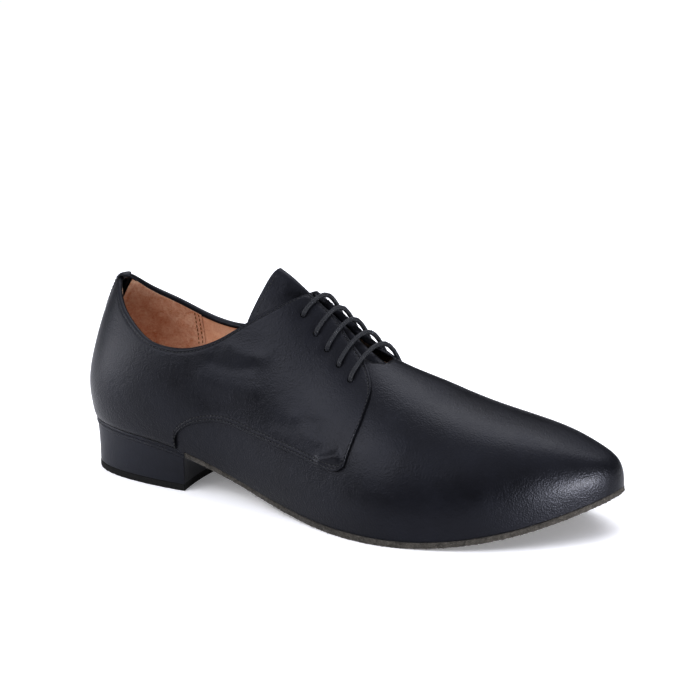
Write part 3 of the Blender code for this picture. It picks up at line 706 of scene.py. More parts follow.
@dataclass(frozen=True)
class SmoothLeather:
    """Chrome-tanned calf, aniline dyed and lightly waxed: a fine pebbled grain breaks up a soft gloss."""

    name: str = "smooth black calf"
    dark: str = "#08080b"
    light: str = "#111218"
    grain: float = 0.85
    grain_depth: float = 0.11
    wrinkle_depth: float = 0.12
    fold_depth: float = 0.16
    dull: float = 0.46
    glossy: float = 0.32
    coat: float = 0.08
    gloss: float = 0.32
    tint: str = "#d6d9ea"

    def build(self) -> Material:
        """The leather's material."""
        material, tree, shader, place = start_material(self.name)
        cells = add(tree, "ShaderNodeTexVoronoi", feature="SMOOTH_F1")
        tree.links.new(place, cells.inputs["Vector"])
        set_numbers(cells, {"Scale": per_mm(self.grain), "Smoothness": 0.6})
        fine = noise(tree, place, self.grain * 0.6, 3.0)
        patches = noise(tree, place, 26.0, 4.0)
        folds = noise(tree, place, 9.0, 4.0, 0.6, 1.2)
        wrinkles = noise(tree, place, 3.4, 3.0, 0.6, 0.9)
        normal = bump(tree, folds, self.fold_depth)
        normal = bump(tree, wrinkles, self.wrinkle_depth, normal)
        normal = bump(tree, cells.outputs["Distance"], self.grain_depth, normal)
        normal = bump(tree, fine, self.grain_depth * 0.6, normal)
        colour(tree, shader, patches, self.dark, self.light)
        tree.links.new(spread_to(tree, patches, self.glossy, self.dull), shader.inputs["Roughness"])
        tree.links.new(normal, shader.inputs["Normal"])
        numbers = {"IOR": 1.5, "Specular IOR Level": self.gloss, "Specular Tint": linear(self.tint)}
        set_numbers(shader, numbers | {"Coat Weight": self.coat, "Coat Roughness": 0.3})
        return material


@dataclass(frozen=True)
class Suede:
    """Split leather with its nap raised: a matt, downy surface with streaks where the nap lies over."""

    name: str
    dark: str
    light: str
    nap: float = 0.9
    depth: float = 0.25
    patch: float = 9.0
    sheen: float = 0.35

    def build(self) -> Material:
        """The suede's material."""
        material, tree, shader, place = start_material(self.name)
        nap = noise(tree, place, self.nap, 5.0, 0.65, 0.6)
        streaks = noise(tree, place, self.patch, 4.0, 0.6, 1.5)
        both = add(tree, "ShaderNodeMath", {0: nap, 1: streaks}, operation="ADD").outputs["Value"]
        half = add(tree, "ShaderNodeMath", {0: both, 1: 0.5}, operation="MULTIPLY").outputs["Value"]
        normal = bump(tree, nap, self.depth, bump(tree, streaks, self.depth * 2))
        colour(tree, shader, half, self.dark, self.light)
        tree.links.new(normal, shader.inputs["Normal"])
        numbers = {"Roughness": 0.95, "Sheen Weight": self.sheen, "Sheen Roughness": 0.6}
        set_numbers(shader, numbers | {"Specular IOR Level": 0.2})
        return material


@dataclass(frozen=True)
class Cord:
    """Spun polyester thread or braid with a little wax: dull, its colour painted lighter on the threads as a
    highlight and darker in the hollows as shade.
    """

    name: str = "black waxed cord"
    dark: str = "#050609"
    light: str = "#141824"
    thread: float = 0.30
    depth: float = 0.08
    rough: float = 0.55

    def build(self) -> Material:
        """The cord's material."""
        material, tree, shader, place = start_material(self.name)
        threads = noise(tree, place, self.thread, 3.0)
        # The colour follows the bump's pattern: painted highlight on the threads, painted shade in the
        # hollows.
        colour(tree, shader, threads, self.dark, self.light)
        tree.links.new(bump(tree, threads, self.depth), shader.inputs["Normal"])
        set_numbers(shader, {"Roughness": self.rough, "Sheen Weight": 0.04})
        return material


@dataclass(frozen=True)
class Rubber:
    """Moulded micro rubber with a scuffed face: matt and pitted, its colour lighter on the scuffed raised
    face and darker in the pits, which is painted shade.
    """

    name: str = "matt black rubber"
    dark: str = "#08080a"
    light: str = "#1c1c1d"

    def build(self) -> Material:
        """The rubber's material."""
        material, tree, shader, place = start_material(self.name)
        pits = noise(tree, place, 0.9, 5.0, 0.7)
        # The colour follows the bump's pattern: painted shade in the pits, lighter on the scuffed raised
        # face.
        colour(tree, shader, pits, self.dark, self.light)
        tree.links.new(bump(tree, pits, 0.35), shader.inputs["Normal"])
        set_numbers(shader, {"Roughness": 0.85, "Specular IOR Level": 0.3})
        return material


@dataclass(frozen=True)
class Paint:
    """Matt white studio paint on the floor: pale, with no visible texture but a faint unevenness."""

    name: str = "white studio paint"
    white: str = "#f4f4f6"
    glow: float = 0.27

    def build(self) -> Material:
        """The floor's material."""
        material, tree, shader, place = start_material(self.name)
        wear = noise(tree, place, 180.0, 2.0)
        tree.links.new(spread_to(tree, wear, 0.5, 0.6), shader.inputs["Roughness"])
        white = linear(self.white)
        numbers = {"Base Color": white, "Specular IOR Level": 0.3, "Emission Color": white}
        set_numbers(shader, numbers | {"Emission Strength": self.glow})
        return material


def built(finish: SmoothLeather | Suede | Cord | Rubber) -> Material:
    """A field that holds the finish's material, built when it is first needed."""
    return field(default_factory=finish.build)


@dataclass
class Finishes:
    """Every finish of the shoe, built once."""

    leather: Material = built(SmoothLeather())
    cover: Material = built(
        SmoothLeather("heel cover calf", "#090a0e", "#14161e", 1.0, 0.03, 0.02, 0.16, 0.5, 0.42, 0.1)
    )
    lining: Material = built(Suede("tan lining suede", "#d08e60", "#ffe8d2", 1.1, 0.3, 7.0))
    front_lining: Material = built(Suede("tan lining split", "#e0ab86", "#ffe0c6", 0.8, 0.10, 14.0))
    sock: Material = built(Suede("tan sock suede", "#9a5526", "#cf9466", 0.8, 0.12, 16.0))
    sole: Material = built(Suede("grey-brown chrome suede", "#1b1917", "#5c5853", 0.7, 0.3, 5.0, 0.15))
    fibre: Material = built(Suede("grey-brown suede fibre", "#282522", "#726d67", 0.5, 0.05, 3.0, 0.15))
    thread: Material = built(Cord("black sewing thread", "#050507", "#15171c", 0.25, 0.03, 0.5))
    tan_thread: Material = built(Cord("tan sewing thread", "#6b4526", "#b98a5e", 0.25, 0.03, 0.7))
    cord: Material = built(Cord())
    rubber: Material = built(Rubber())


@dataclass
class Stitching:
    """Rows of lockstitch, laid by Geometry Nodes along the lines where the leather is sewn."""

    last: Last
    spacing: float = 2.1
    length: float = 1.5
    thickness: float = 0.50
    tilt: float = 7.0
    seed: int = 5

    def tree(self) -> Tree:
        """The node tree: places along each line, a small bead of thread at each, made real."""
        inputs = {"Spacing": "Float", "Length": "Float", "Thickness": "Float", "Tilt": "Float"}
        tree, given = start_tree("stitch row", inputs | {"Seed": "Int", "Thread": "Material"})
        inputs = {"Curve": given["Geometry"], "Length": given["Spacing"]}
        places = add(tree, "GeometryNodeCurveToPoints", inputs, mode="LENGTH").outputs
        turn = add(tree, "FunctionNodeAlignRotationToVector", {"Vector": places["Tangent"]}, axis="Z")
        least = add(tree, "ShaderNodeMath", {0: given["Tilt"], 1: -1.0}, operation="MULTIPLY")
        sway = add(tree, "FunctionNodeRandomValue", {"Seed": given["Seed"]}, data_type="FLOAT")
        tree.links.new(least.outputs["Value"], sway.inputs[2])
        tree.links.new(given["Tilt"], sway.inputs[3])
        swing = add(tree, "ShaderNodeCombineXYZ", {"X": sway.outputs[1], "Y": sway.outputs[1]})
        local = add(tree, "FunctionNodeEulerToRotation", {0: swing.outputs["Vector"]})
        inputs = {0: turn.outputs[0], 1: local.outputs[0]}
        turned = add(tree, "FunctionNodeRotateRotation", inputs, rotation_space="LOCAL")
        bead = add(tree, "GeometryNodeMeshUVSphere", {"Segments": 7, "Rings": 5, "Radius": 0.5})
        inputs = {"X": given["Thickness"], "Y": given["Thickness"], "Z": given["Length"]}
        size = add(tree, "ShaderNodeCombineXYZ", inputs)
        inputs = {"Geometry": bead.outputs["Mesh"], "Scale": size.outputs["Vector"]}
        shaped = add(tree, "GeometryNodeTransform", inputs)
        inputs = {"Points": places["Points"], "Instance": shaped.outputs["Geometry"]}
        laid = add(tree, "GeometryNodeInstanceOnPoints", inputs | {"Rotation": turned.outputs[0]})
        real = add(tree, "GeometryNodeRealizeInstances", {"Geometry": laid.outputs["Instances"]})
        smooth = add(tree, "GeometryNodeSetShadeSmooth", {"Geometry": real.outputs["Geometry"]})
        inputs = {"Geometry": smooth.outputs["Geometry"], "Material": given["Thread"]}
        done = add(tree, "GeometryNodeSetMaterial", inputs)
        add(tree, "NodeGroupOutput", {0: done.outputs["Geometry"]})
        return tree

    def sew(self, name: str, lines: list[np.ndarray], thread: Material) -> None:
        """Sews rows of stitches along lines.

        Args:
            name: Name of the finished piece.
            lines: Lines of points in millimetres.
            thread: The thread's material.
        """
        curve = bpy.data.curves.new(name + " lines", "CURVE")
        curve.dimensions = "3D"
        for line in lines:
            spline = curve.splines.new("POLY")
            spline.points.add(len(line) - 1)
            world = self.last.to_world(line)
            spline.points.foreach_set("co", np.column_stack([world, np.ones(len(world))]).ravel())
        guide = linked(bpy.data.objects.new(name + " lines", curve))
        sizes = {"Spacing": self.spacing, "Length": self.length, "Thickness": self.thickness}
        values = {label: size * MM for label, size in sizes.items()}
        turns = {"Tilt": math.radians(self.tilt), "Seed": self.seed, "Thread": thread}
        grow(guide, self.tree(), values | turns)
        graph = bpy.context.evaluated_depsgraph_get()
        mesh = bpy.data.meshes.new_from_object(guide.evaluated_get(graph), depsgraph=graph)
        bpy.data.objects.remove(guide)
        dress(linked(bpy.data.objects.new(name, mesh)), thread)


@dataclass
class Vamp:
    """The upper's outer leather: it wraps the foot, turns in over the sole and leaves the throat open."""

    last: Last
    wall: float = 1.0
    stations: int = 260
    rows: int = 54
    trim: float = 1.6
    turned_in: float = 3.0

    def build(self, leather: Material, pins: Object) -> None:
        """Builds the vamp and cuts its lace holes."""
        last = self.last
        end = THROAT[-1].at
        marks = [THROAT[0].at, end, end + 0.0005]
        even = last.x_of(np.linspace(0, 1, self.stations)) / last.length
        kept = [at for at in even if min(abs(at - mark) for mark in marks) > 0.001]
        s = station(np.array(sorted(kept + marks)))[:, None]
        rows = np.linspace(0, 1, self.rows)
        points, faces = [], []
        for side in Side:
            edge = last.vamp_edge(side, s)
            open_part = last.x_of(s) / last.length <= end
            edge = np.where(open_part, edge * (1 - self.trim / last.girth(side, s, edge)), edge)
            grid = last.point(side, s, edge * rows)
            grid = grid + last.normal(side, s, edge * rows) * last.wrinkles(grid)[..., None]
            plan = last.plan(side, s, np.full_like(s, -self.turned_in))
            grid = np.concatenate([np.concatenate([plan, grid[:, :1, 2:]], -1), grid], 1)
            turn = 1 if side is Side.INNER else -1
            faces += [face[::turn] for face in grid_faces(*grid.shape[:2], start=len(points))]
            points += list(grid.reshape(-1, 3))
        obj = make_mesh("vamp", np.array(points), faces, self.last)
        wall = obj.modifiers.new("wall", "SOLIDIFY")
        wall.thickness = self.wall * MM
        wall.offset = -1
        punch(obj, pins)
        dress(obj, leather, ("upper",))


def punch(obj: Object, pins: Object) -> None:
    """Cuts the lace holes from a piece and makes its modifiers real."""
    cut = obj.modifiers.new("lace holes", "BOOLEAN")
    cut.operation = "DIFFERENCE"
    cut.solver = "EXACT"
    cut.object = pins
    make_real(obj)


def make_real(obj: Object) -> None:
    """Puts what an object's modifiers make into its own mesh and drops them."""
    graph = bpy.context.evaluated_depsgraph_get()
    mesh = bpy.data.meshes.new_from_object(obj.evaluated_get(graph), depsgraph=graph)
    obj.modifiers.clear()
    obj.data = mesh


@dataclass
class Lining:
    """The suede lining inside the upper: a rough heel grip, an upright seam and a smoother front."""

    last: Last
    outside: float = -1.25
    inside: float = -1.85
    seam: tuple[float, float] = (0.158, 0.132)
    top_trim: float = 1.35
    throat_trim: float = 10.0
    skived: float = 0.5
    rows: int = 40
    ripple: Ripple = field(default_factory=lambda: Ripple(16.0, 3))

    def grid(self, side: Side, s: np.ndarray, lift: float, trimmed: bool = True) -> np.ndarray:
        """Points of the lining on stations s, from the sole up to the collar."""
        edge = self.last.vamp_edge(side, s)
        at = self.last.x_of(s) / self.last.length
        lift = lift * (1 - self.skived * (1 - smooth_step(at, 0.0, 0.03)))
        trim = self.top_trim + self.throat_trim * smooth_step(at, 0.40, 0.46)
        edge = edge * (1 - trim / self.last.girth(side, s, edge)) if trimmed else edge
        v = edge * np.linspace(0.01, 1, self.rows)
        base = self.last.point(side, s, v)
        sway = 0.35 * self.ripple.at(base) * smooth_step(1 - v / edge, 0.02, 0.2)
        return base + self.last.normal(side, s, v) * (lift + self.last.wrinkles(base) + sway)[..., None]

    def build(self, grip: Material, front: Material) -> None:
        """Builds the heel grip and the front lining of both sides."""
        back = station(np.linspace(0, np.sqrt(self.seam[0]), 70) ** 2)[:, None]
        both = []
        for lift in (self.inside - 0.35, self.outside):
            outer = self.grid(Side.OUTER, back, lift)
            inner = self.grid(Side.INNER, back, lift)
            both.append(np.concatenate([outer[:0:-1], inner]))
        obj = slab("heel_grip", both[0], both[1], self.last)
        dress(obj, grip)
        joint = THROAT[-1].at + 0.03
        ahead = station(np.linspace(self.seam[1], joint, 120))[:, None]
        for side, name in ((Side.OUTER, "front_lining_outer"), (Side.INNER, "front_lining_inner")):
            inner, outer = (self.grid(side, ahead, lift) for lift in (self.inside, self.outside))
            dress(slab(name, inner, outer, self.last), front)
        over = station(np.linspace(joint, 0.985, 90))[:, None]
        shells = []
        for lift in (self.inside, self.outside):
            outer = self.grid(Side.OUTER, over, lift, False)
            inner = self.grid(Side.INNER, over, lift, False)
            shells.append(np.concatenate([outer, inner[:, -2::-1]], 1))
        obj = slab("toe_lining", shells[0], shells[1], self.last)
        dress(obj, front)

    def seam_lines(self) -> list[np.ndarray]:
        """The two rows of stitches beside the upright seam on both sides."""
        lines = []
        for side in Side:
            for shift in (-0.006, -0.014):
                s = station(np.array([self.seam[0] + shift]))[:, None]
                lines.append(self.grid(side, s, self.inside - 0.45)[0, 6:-1])
        return lines


# A folded edge of a quarter: distance from the edge and lift over the last, in millimetres. The hidden face
# has a row for each row of the shown one, so that the two close to one solid.
Hem = namedtuple("Hem", "away lift hidden_away hidden_lift")
LOW_HEM = [
    Hem(0.00, 0.75, 0.00, 0.45),
    Hem(0.12, 1.10, 0.25, 0.20),
    Hem(0.35, 1.35, 0.50, 0.12),
    Hem(0.70, 1.52, 0.80, 0.12),
    Hem(1.10, 1.50, 1.10, 0.12),
    Hem(1.35, 1.36, 1.35, 0.12),
    Hem(1.60, 1.36, 1.60, 0.12),
    Hem(1.90, 1.54, 1.90, 0.12),
    Hem(2.60, 1.60, 2.60, 0.12),
    Hem(3.20, 1.50, 3.20, 0.12),
    Hem(3.45, 1.37, 3.45, 0.12),
    Hem(3.70, 1.37, 3.70, 0.12),
    Hem(4.00, 1.52, 4.00, 0.12),
    Hem(4.80, 1.60, 4.80, 0.12),
]
SEAT_LIFTS = [(-0.30, -0.60), (0.05, -0.50), (0.35, -0.40), (0.66, -0.20), (0.90, 0.00), (1.02, 0.05),
              (1.12, 0.10), (1.22, 0.12), (1.37, 0.12), (1.46, 0.12), (1.49, 0.12), (1.52, 0.12),
              (1.54, 0.12), (1.58, 0.12)]
SEAT_HEM = [Hem(low.away, lift, low.hidden_away, hidden) for low, (lift, hidden) in zip(LOW_HEM, SEAT_LIFTS)]
TOP_HEM = [
    Hem(6.00, 1.60, 6.00, 0.12),
    Hem(4.40, 1.60, 4.40, 0.12),
    Hem(3.30, 1.60, 3.30, 0.12),
    Hem(2.80, 1.52, 2.80, 0.15),
    Hem(2.45, 1.34, 2.45, 0.20),
    Hem(2.15, 1.32, 2.15, 0.25),
    Hem(1.80, 1.46, 1.80, 0.28),
    Hem(1.30, 1.46, 1.40, 0.25),
    Hem(0.80, 1.28, 1.20, 0.10),
    Hem(0.35, 0.95, 1.00, -0.10),
    Hem(0.08, 0.50, 0.95, -0.40),
    Hem(0.00, -0.10, 0.95, -0.75),
    Hem(0.06, -0.70, 1.00, -1.10),
    Hem(0.25, -1.20, 1.05, -1.40),
    Hem(0.60, -1.62, 1.15, -1.62),
    Hem(1.10, -1.98, 1.35, -1.76),
    Hem(1.75, -2.20, 1.75, -1.88),
]
FLAT_HEM = [
    Hem(6.00, 1.60, 6.00, 0.12),
    Hem(4.40, 1.60, 4.40, 0.12),
    Hem(3.30, 1.60, 3.30, 0.12),
    Hem(2.80, 1.52, 2.80, 0.12),
    Hem(2.45, 1.36, 2.45, 0.12),
    Hem(2.15, 1.36, 2.15, 0.12),
    Hem(1.80, 1.52, 1.80, 0.12),
    Hem(1.30, 1.56, 1.30, 0.12),
    Hem(0.80, 1.48, 0.90, 0.12),
    Hem(0.35, 1.30, 0.70, 0.12),
    Hem(0.12, 1.08, 0.60, 0.12),
    Hem(0.02, 0.85, 0.50, 0.12),
    Hem(0.00, 0.70, 0.40, 0.12),
    Hem(0.01, 0.58, 0.30, 0.13),
    Hem(0.03, 0.48, 0.22, 0.16),
    Hem(0.06, 0.40, 0.16, 0.20),
    Hem(0.09, 0.33, 0.12, 0.25),
]


@dataclass
class Quarter:
    """One quarter with its facing: folded along the collar and the throat, and laid over the vamp."""

    last: Last
    side: Side
    column_steps: tuple[int, int, int] = (20, 7, 8)
    middle_rows: int = 34
    end_width: float = 6.0
    edge_radius: float = 0.9
    hook_fade: tuple[float, float] = (0.530, 0.556)
    row_away: float = 2.3
    low_rows: tuple[float, float] = (1.48, 3.57)
    end_away: float = 1.5
    stitch_lift: float = 1.50
    hole_dimple: float = 0.5

    def marks(self) -> np.ndarray:
        """Places of the columns: 0 to 3 round the heel, 3 to 11 along the waist, 11 to 19 at the front."""
        starts = (0, len(QUARTER_BACK) - 1, len(QUARTER_BACK) + len(QUARTER_WAIST) - 2)
        counts = (len(QUARTER_BACK) - 1, len(QUARTER_WAIST) - 1, len(QUARTER_FRONT) - 1)
        self.end = starts[2] + counts[2]
        runs = [np.linspace(start, start + count, count * steps + 1)
                for start, count, steps in zip(starts, counts, self.column_steps)]
        near_end = self.end - np.array([0.0, 0.12, 0.3, 0.55, 0.85, 1.2, 1.5, 1.8, 2.3]) / self.end_width
        even = np.unique(np.round(np.concatenate(runs), 6))
        return np.concatenate([even[even < near_end.min() - 0.05], near_end[::-1]])

    def edges(self, marks: np.ndarray) -> tuple[np.ndarray, ...]:
        """Stations and v of the lower and the upper side of the columns at the marks."""
        marks = np.asarray(marks, float)
        found = {name: np.zeros_like(marks) for name in Pair._fields}
        start = 0
        for rows in (QUARTER_BACK, QUARTER_WAIST, QUARTER_FRONT):
            here = (marks >= start) & (marks <= start + len(rows) - 1)
            for name in Pair._fields:
                values = [getattr(row, name) for row in rows]
                values = station(values) if name.endswith("at") else np.array(values, float)
                line = smooth_spline(np.arange(len(rows)), values, level_ends=False)
                found[name] = np.where(here, line(marks - start), found[name])
            start += len(rows) - 1
        top, seam = found["top_at"], found["seam_at"]
        high = self.last.top_edge(self.side, top, self.last.half * found["reach"])
        low = self.last.at_height(self.side, seam, self.last.top_height * found["height"])
        return seam, low, top, high

    def place(self, marks: np.ndarray, away: np.ndarray, from_top: np.ndarray,
              lift: np.ndarray) -> np.ndarray:
        """Points this far from the lower or the upper side of their column, over the last.

        Args:
            marks: Column of each point.
            away: Distance from the side in millimetres.
            from_top: Where it is measured from the upper side.
            lift: Height over the last's surface.

        Returns:
            The points, raised and lowered with the leather's creases.
        """
        marks, away, from_top, lift = np.broadcast_arrays(marks, away, from_top, lift)
        seam, low, top, high = self.edges(marks)
        shares = np.linspace(0, 1, 24).reshape((-1,) + (1,) * marks.ndim)
        line = self.last.point(self.side, seam + (top - seam) * shares, low + (high - low) * shares)
        length = np.linalg.norm(np.diff(line, axis=0), axis=-1).sum(0)
        share = np.where(from_top, 1 - away / length, away / length)
        s, v = seam + (top - seam) * share, low + (high - low) * share
        base = self.last.point(self.side, s, v)
        height = lift + self.last.wrinkles(base) - self.dimples(base)
        return base + self.last.normal(self.side, s, v) * height[..., None]

    def thinned(self, marks: np.ndarray) -> np.ndarray:
        """Share of full thickness, since the leather is skived towards the back seam."""
        return 0.55 + 0.45 * smooth_step(marks, 0.3, 2.2)

    def dimples(self, base: np.ndarray) -> np.ndarray:
        """How far the lace holes draw the leather in."""
        total = np.zeros(base.shape[:-1])
        for hole in HOLES:
            away = np.linalg.norm(base - hole_place(self.last, hole, self.side.value, 0.0), axis=-1)
            total += self.hole_dimple * np.exp(-((away / 2.4) ** 2))
        return total

    def shell(self) -> tuple[np.ndarray, np.ndarray]:
        """Grids of the shown and of the hidden face, with a row for each column of leather."""
        marks = self.marks()
        columns = marks[:, None]
        at = self.last.x_of(self.edges(marks)[2]) / self.last.length
        hook = 1 - smooth_step(at, *self.hook_fade)[:, None]
        seat = 1 - smooth_step(marks, 2.9, 3.4)[:, None]

        def mixed(one: list, other: list, share: np.ndarray, name: str) -> np.ndarray:
            """A column of one hem table where share is 1 and of the other where it is 0."""
            first, second = (np.array([getattr(hem, name) for hem in table])[None] for table in (one, other))
            return first * share + second * (1 - share)

        lows = [mixed(SEAT_HEM, LOW_HEM, seat, name) for name in Hem._fields]
        tops = [mixed(TOP_HEM, FLAT_HEM, hook, name) for name in Hem._fields]
        across = self.place(marks, 0, True, 0) - self.place(marks, 0, False, 0)
        length = np.linalg.norm(across, axis=-1)[:, None]
        middle = np.linspace(0, 1, self.middle_rows + 2)[1:-1][None]
        span = lows[0][:, -1:] * (1 - middle) + (length * 1.05 - TOP_HEM[0].away) * middle
        ones = np.ones_like(span)
        faces = []
        for away, lift in ((0, 1), (2, 3)):
            over = ones * lows[lift][:, -1:] * (1 - middle) + tops[lift][:, :1] * middle
            faces.append((np.concatenate([lows[away], span, tops[away]], 1),
                          np.concatenate([lows[lift], over, tops[lift]], 1)))
        from_top = np.concatenate([np.zeros_like(lows[0]), np.zeros_like(span), np.ones_like(tops[0])], 1) > 0
        to_end = (self.end - columns) * self.end_width
        body = rounded(to_end, self.edge_radius)
        groove = 0.2 * np.exp(-(((to_end - self.end_away) / 0.3) ** 2))
        hidden = faces[1][1]
        shown = hidden + (faces[0][1] - hidden) * (0.25 + 0.75 * body) * self.thinned(columns) - groove
        front = self.place(columns, faces[0][0], from_top, shown)
        return front, self.place(columns, faces[1][0], from_top, hidden)

    def build(self, leather: Material, pins: Object) -> None:
        """Builds the quarter and cuts its lace holes."""
        name = "quarter_lateral" if self.side is Side.OUTER else "quarter_medial"
        shown, hidden = self.shell()
        obj = slab(name + "_leather", shown, hidden, self.last)
        punch(obj, pins)
        dress(obj, leather, (name,))

    def stitch_lines(self) -> list[np.ndarray]:
        """The row along the collar, facing and front edge, and the second row along the curved seam."""
        end = self.end - self.end_away / self.end_width
        top = np.linspace(0.45, end, 400)
        upper = self.place(top, self.row_away, True, 0.1 + (self.stitch_lift - 0.1) * self.thinned(top))
        down = self.corner_run(end, self.row_away, self.low_rows[0])
        back = np.linspace(end, 3.02, 300)
        first = self.place(back, self.low_rows[0], False, self.stitch_lift)
        turn = end - (self.low_rows[1] - self.low_rows[0]) / self.end_width
        second = self.place(np.linspace(turn, 3.02, 300), self.low_rows[1], False, self.stitch_lift)
        return [eased(np.concatenate([upper, down, first])), second]

    def corner_run(self, mark: float, top_away: float, low_away: float) -> np.ndarray:
        """Points down the front edge, between the upper row and the lower one."""
        high = self.place(np.full(30, mark), np.linspace(top_away, 16, 30), True, self.stitch_lift)
        low = self.place(np.full(20, mark), np.linspace(9, low_away, 20), False, self.stitch_lift)
        return np.concatenate([high, low])


def eased(line: np.ndarray, rounds: int = 60) -> np.ndarray:
    """A line with its corners rounded, its ends kept."""
    line = resampled(line, 0.5)
    for _ in range(rounds):
        line[1:-1] = (line[:-2] + 2 * line[1:-1] + line[2:]) / 4
    return line


def resampled(line: np.ndarray, step: float) -> np.ndarray:
    """Points this far apart along a line."""
    run = np.concatenate([[0], np.cumsum(np.linalg.norm(np.diff(line, axis=0), axis=1))])
    places = np.linspace(0, run[-1], max(int(run[-1] / step), 2) + 1)
    return np.stack([np.interp(places, run, line[:, axis]) for axis in range(3)], 1)


def hole_place(last: Last, hole: Hole, share: float, lift: float) -> np.ndarray:
    """A place on the line over the shoe from the outer hole (share -1) to the inner one (share 1)."""
    side = Side.INNER if share > 0 else Side.OUTER
    s = station(hole.outer + (hole.inner - hole.outer) * (share + 1) / 2)
    v = last.at_reach(side, s, hole.reach * last.half * abs(share)) if share else np.float64(1.0)
    return last.surface(side, s, v, lift)


@dataclass
class HolePins:
    """Round cutters for the ten lace holes, which are taken away again."""

    last: Last
    diameter: float = 2.9
    depth: float = 9.0

    def build(self) -> Object:
        """Ten pins in one mesh."""
        shape = bmesh.new()
        for hole in HOLES:
            for share in (-1, 1):
                ends = (-self.depth / 2, self.depth / 2)
                low, high = (Vector(hole_place(self.last, hole, share, lift)) for lift in ends)
                turn = (high - low).to_track_quat("Z", "Y").to_matrix().to_4x4()
                place = Matrix.Translation((low + high) / 2) @ turn
                radius = self.diameter / 2
                bmesh.ops.create_cone(shape, cap_ends=True, segments=20, radius1=radius, radius2=radius,
                                      depth=self.depth, matrix=place)
        mesh = bpy.data.meshes.new("hole pins")
        shape.to_mesh(mesh)
        shape.free()
        mesh.transform(Matrix.Scale(MM, 4) @ Matrix.Translation(self.last.heel_back))
        obj = linked(bpy.data.objects.new("hole pins", mesh))
        obj.hide_render = True
        return obj


@dataclass
class BackStrip:
    """The strip over the back seam, folded over the collar and sewn along both edges."""

    last: Last
    half_width: float = 4.5
    under: float = 0.95
    thickness: float = 0.55
    low: float = 0.29
    rows: int = 70
    fold_start: float = 3.6
    folded: tuple = ((3.0, 0.95), (1.6, 0.92), (0.7, 0.75), (0.2, 0.45), (-0.05, 0.0), (-0.1, -0.6),
                     (0.05, -1.2), (0.45, -1.7), (1.1, -2.05), (1.9, -2.15))

    def build(self, leather: Material) -> list[np.ndarray]:
        """Builds the strip and returns its two stitch rows."""
        last = self.last
        across = np.linspace(-1, 1, 25)
        top = last.top_height
        flat = np.linspace(self.low * top, top - self.fold_start, self.rows)
        heights = np.concatenate([flat, [top - away for away, _ in self.folded]])
        lifts = np.concatenate([np.full(self.rows, self.under), [lift for _, lift in self.folded]])
        height, share = np.broadcast_arrays(heights[:, None], across[None])
        lift = np.broadcast_to(lifts[:, None], height.shape)
        reach = abs(share) * self.half_width
        to_end = np.arange(len(heights))[::-1, None]
        edge = rounded((1 - abs(share)) * self.half_width, 0.8) * rounded(to_end, 1.5)
        thick = np.where(lift > -0.3, 1.0, -1.0) * self.thickness * (0.2 + 0.8 * edge)
        grids = [np.zeros(height.shape + (3,)), np.zeros(height.shape + (3,))]
        for side in Side:
            def wide(s: np.ndarray) -> np.ndarray:
                """Distance from the middle, at each point's height."""
                return abs(last.point(side, s, last.at_height(side, s, height))[..., 1])

            s = last.solve(wide, reach, 0, 0.2)
            v = last.at_height(side, s, height)
            here = ((share > 0) == (side is Side.INNER))[..., None]
            for number, raised in enumerate((lift + thick, lift)):
                grids[number] = np.where(here, last.surface(side, s, v, raised), grids[number])
        obj = slab("back_strip_leather", grids[0], grids[1], last)
        dress(obj, leather, ("back_strip",))
        return [grids[0][3 : self.rows + 2, 3], grids[0][3 : self.rows + 2, -4]]


@dataclass
class Tongue:
    """The tongue: it rises between the facings to a rounded point, with a stitched edge."""

    last: Last
    thickness: float = 1.8
    tip: float = 0.033
    rows: int = 110
    columns: int = 61
    row_away: float = 2.6
    long: float = 90.0
    half_width: float = 22.0
    edge_steps: tuple = (0, 0.15, 0.4, 0.8, 1.3)

    def place(self, start: np.ndarray, share: np.ndarray, lift: np.ndarray) -> np.ndarray:
        """Points over the tongue: start runs from tip to root, share from the outer to the inner edge."""
        start, share, lift = np.broadcast_arrays(start, share, lift)
        tip = self.tip * (1 - (share**2 + 0.003) ** 0.575) * (1 - start) ** 3
        at = TONGUE[0].at + (TONGUE[-1].at - TONGUE[0].at) * start + tip
        reach = np.abs(share) * self.last.half * between(TONGUE, "reach", at)
        crown = self.last.half * between(TONGUE, "crown", at)
        deep = smooth_step(reach, 0, crown * 1.3)
        drop = between(TONGUE, "middle", at) * (1 - deep) + between(TONGUE, "side", at) * deep
        s = station(at)
        points = np.zeros(start.shape + (3,))
        for side, here in ((Side.OUTER, share <= 0), (Side.INNER, share > 0)):
            v = np.where(reach < 0.02, 1.0, self.last.at_reach(side, s, reach))
            found = self.last.surface(side, s, v, lift - self.thickness * drop)
            points = np.where(here[..., None], found, points)
        return points

    def build(self, leather: Material) -> list[np.ndarray]:
        """Builds the tongue and returns the stitch row along its edge."""
        steps = np.array(self.edge_steps)
        rows = np.linspace(2.2 / self.long, 1, self.rows)
        start = np.concatenate([steps / self.long, rows])[:, None]
        ends = steps / self.half_width
        share = np.concatenate([-1 + ends, np.linspace(-0.9, 0.9, self.columns), 1 - ends[::-1]])[None]
        body = rounded(start * self.long, 0.9) * rounded((1 - abs(share)) * self.half_width, 0.9)
        half = self.thickness / 2
        top = self.place(start, share, -half + half * (0.1 + 0.9 * body))
        bottom = self.place(start, share, -half - half * (0.1 + 0.9 * body))
        obj = slab("tongue_leather", top, bottom, self.last)
        dress(obj, leather, ("tongue",))
        inset = self.row_away / self.long
        side = np.linspace(0.55, inset * 1.6, 120)
        edge = 1 - self.row_away / 21.0
        round_tip = self.place(np.full(80, inset * 1.3), np.linspace(-edge, edge, 80), 0.02)
        lines = [self.place(side, -edge, 0.02), round_tip, self.place(side[::-1], edge, 0.02)]
        return [eased(np.concatenate(lines), 30)]


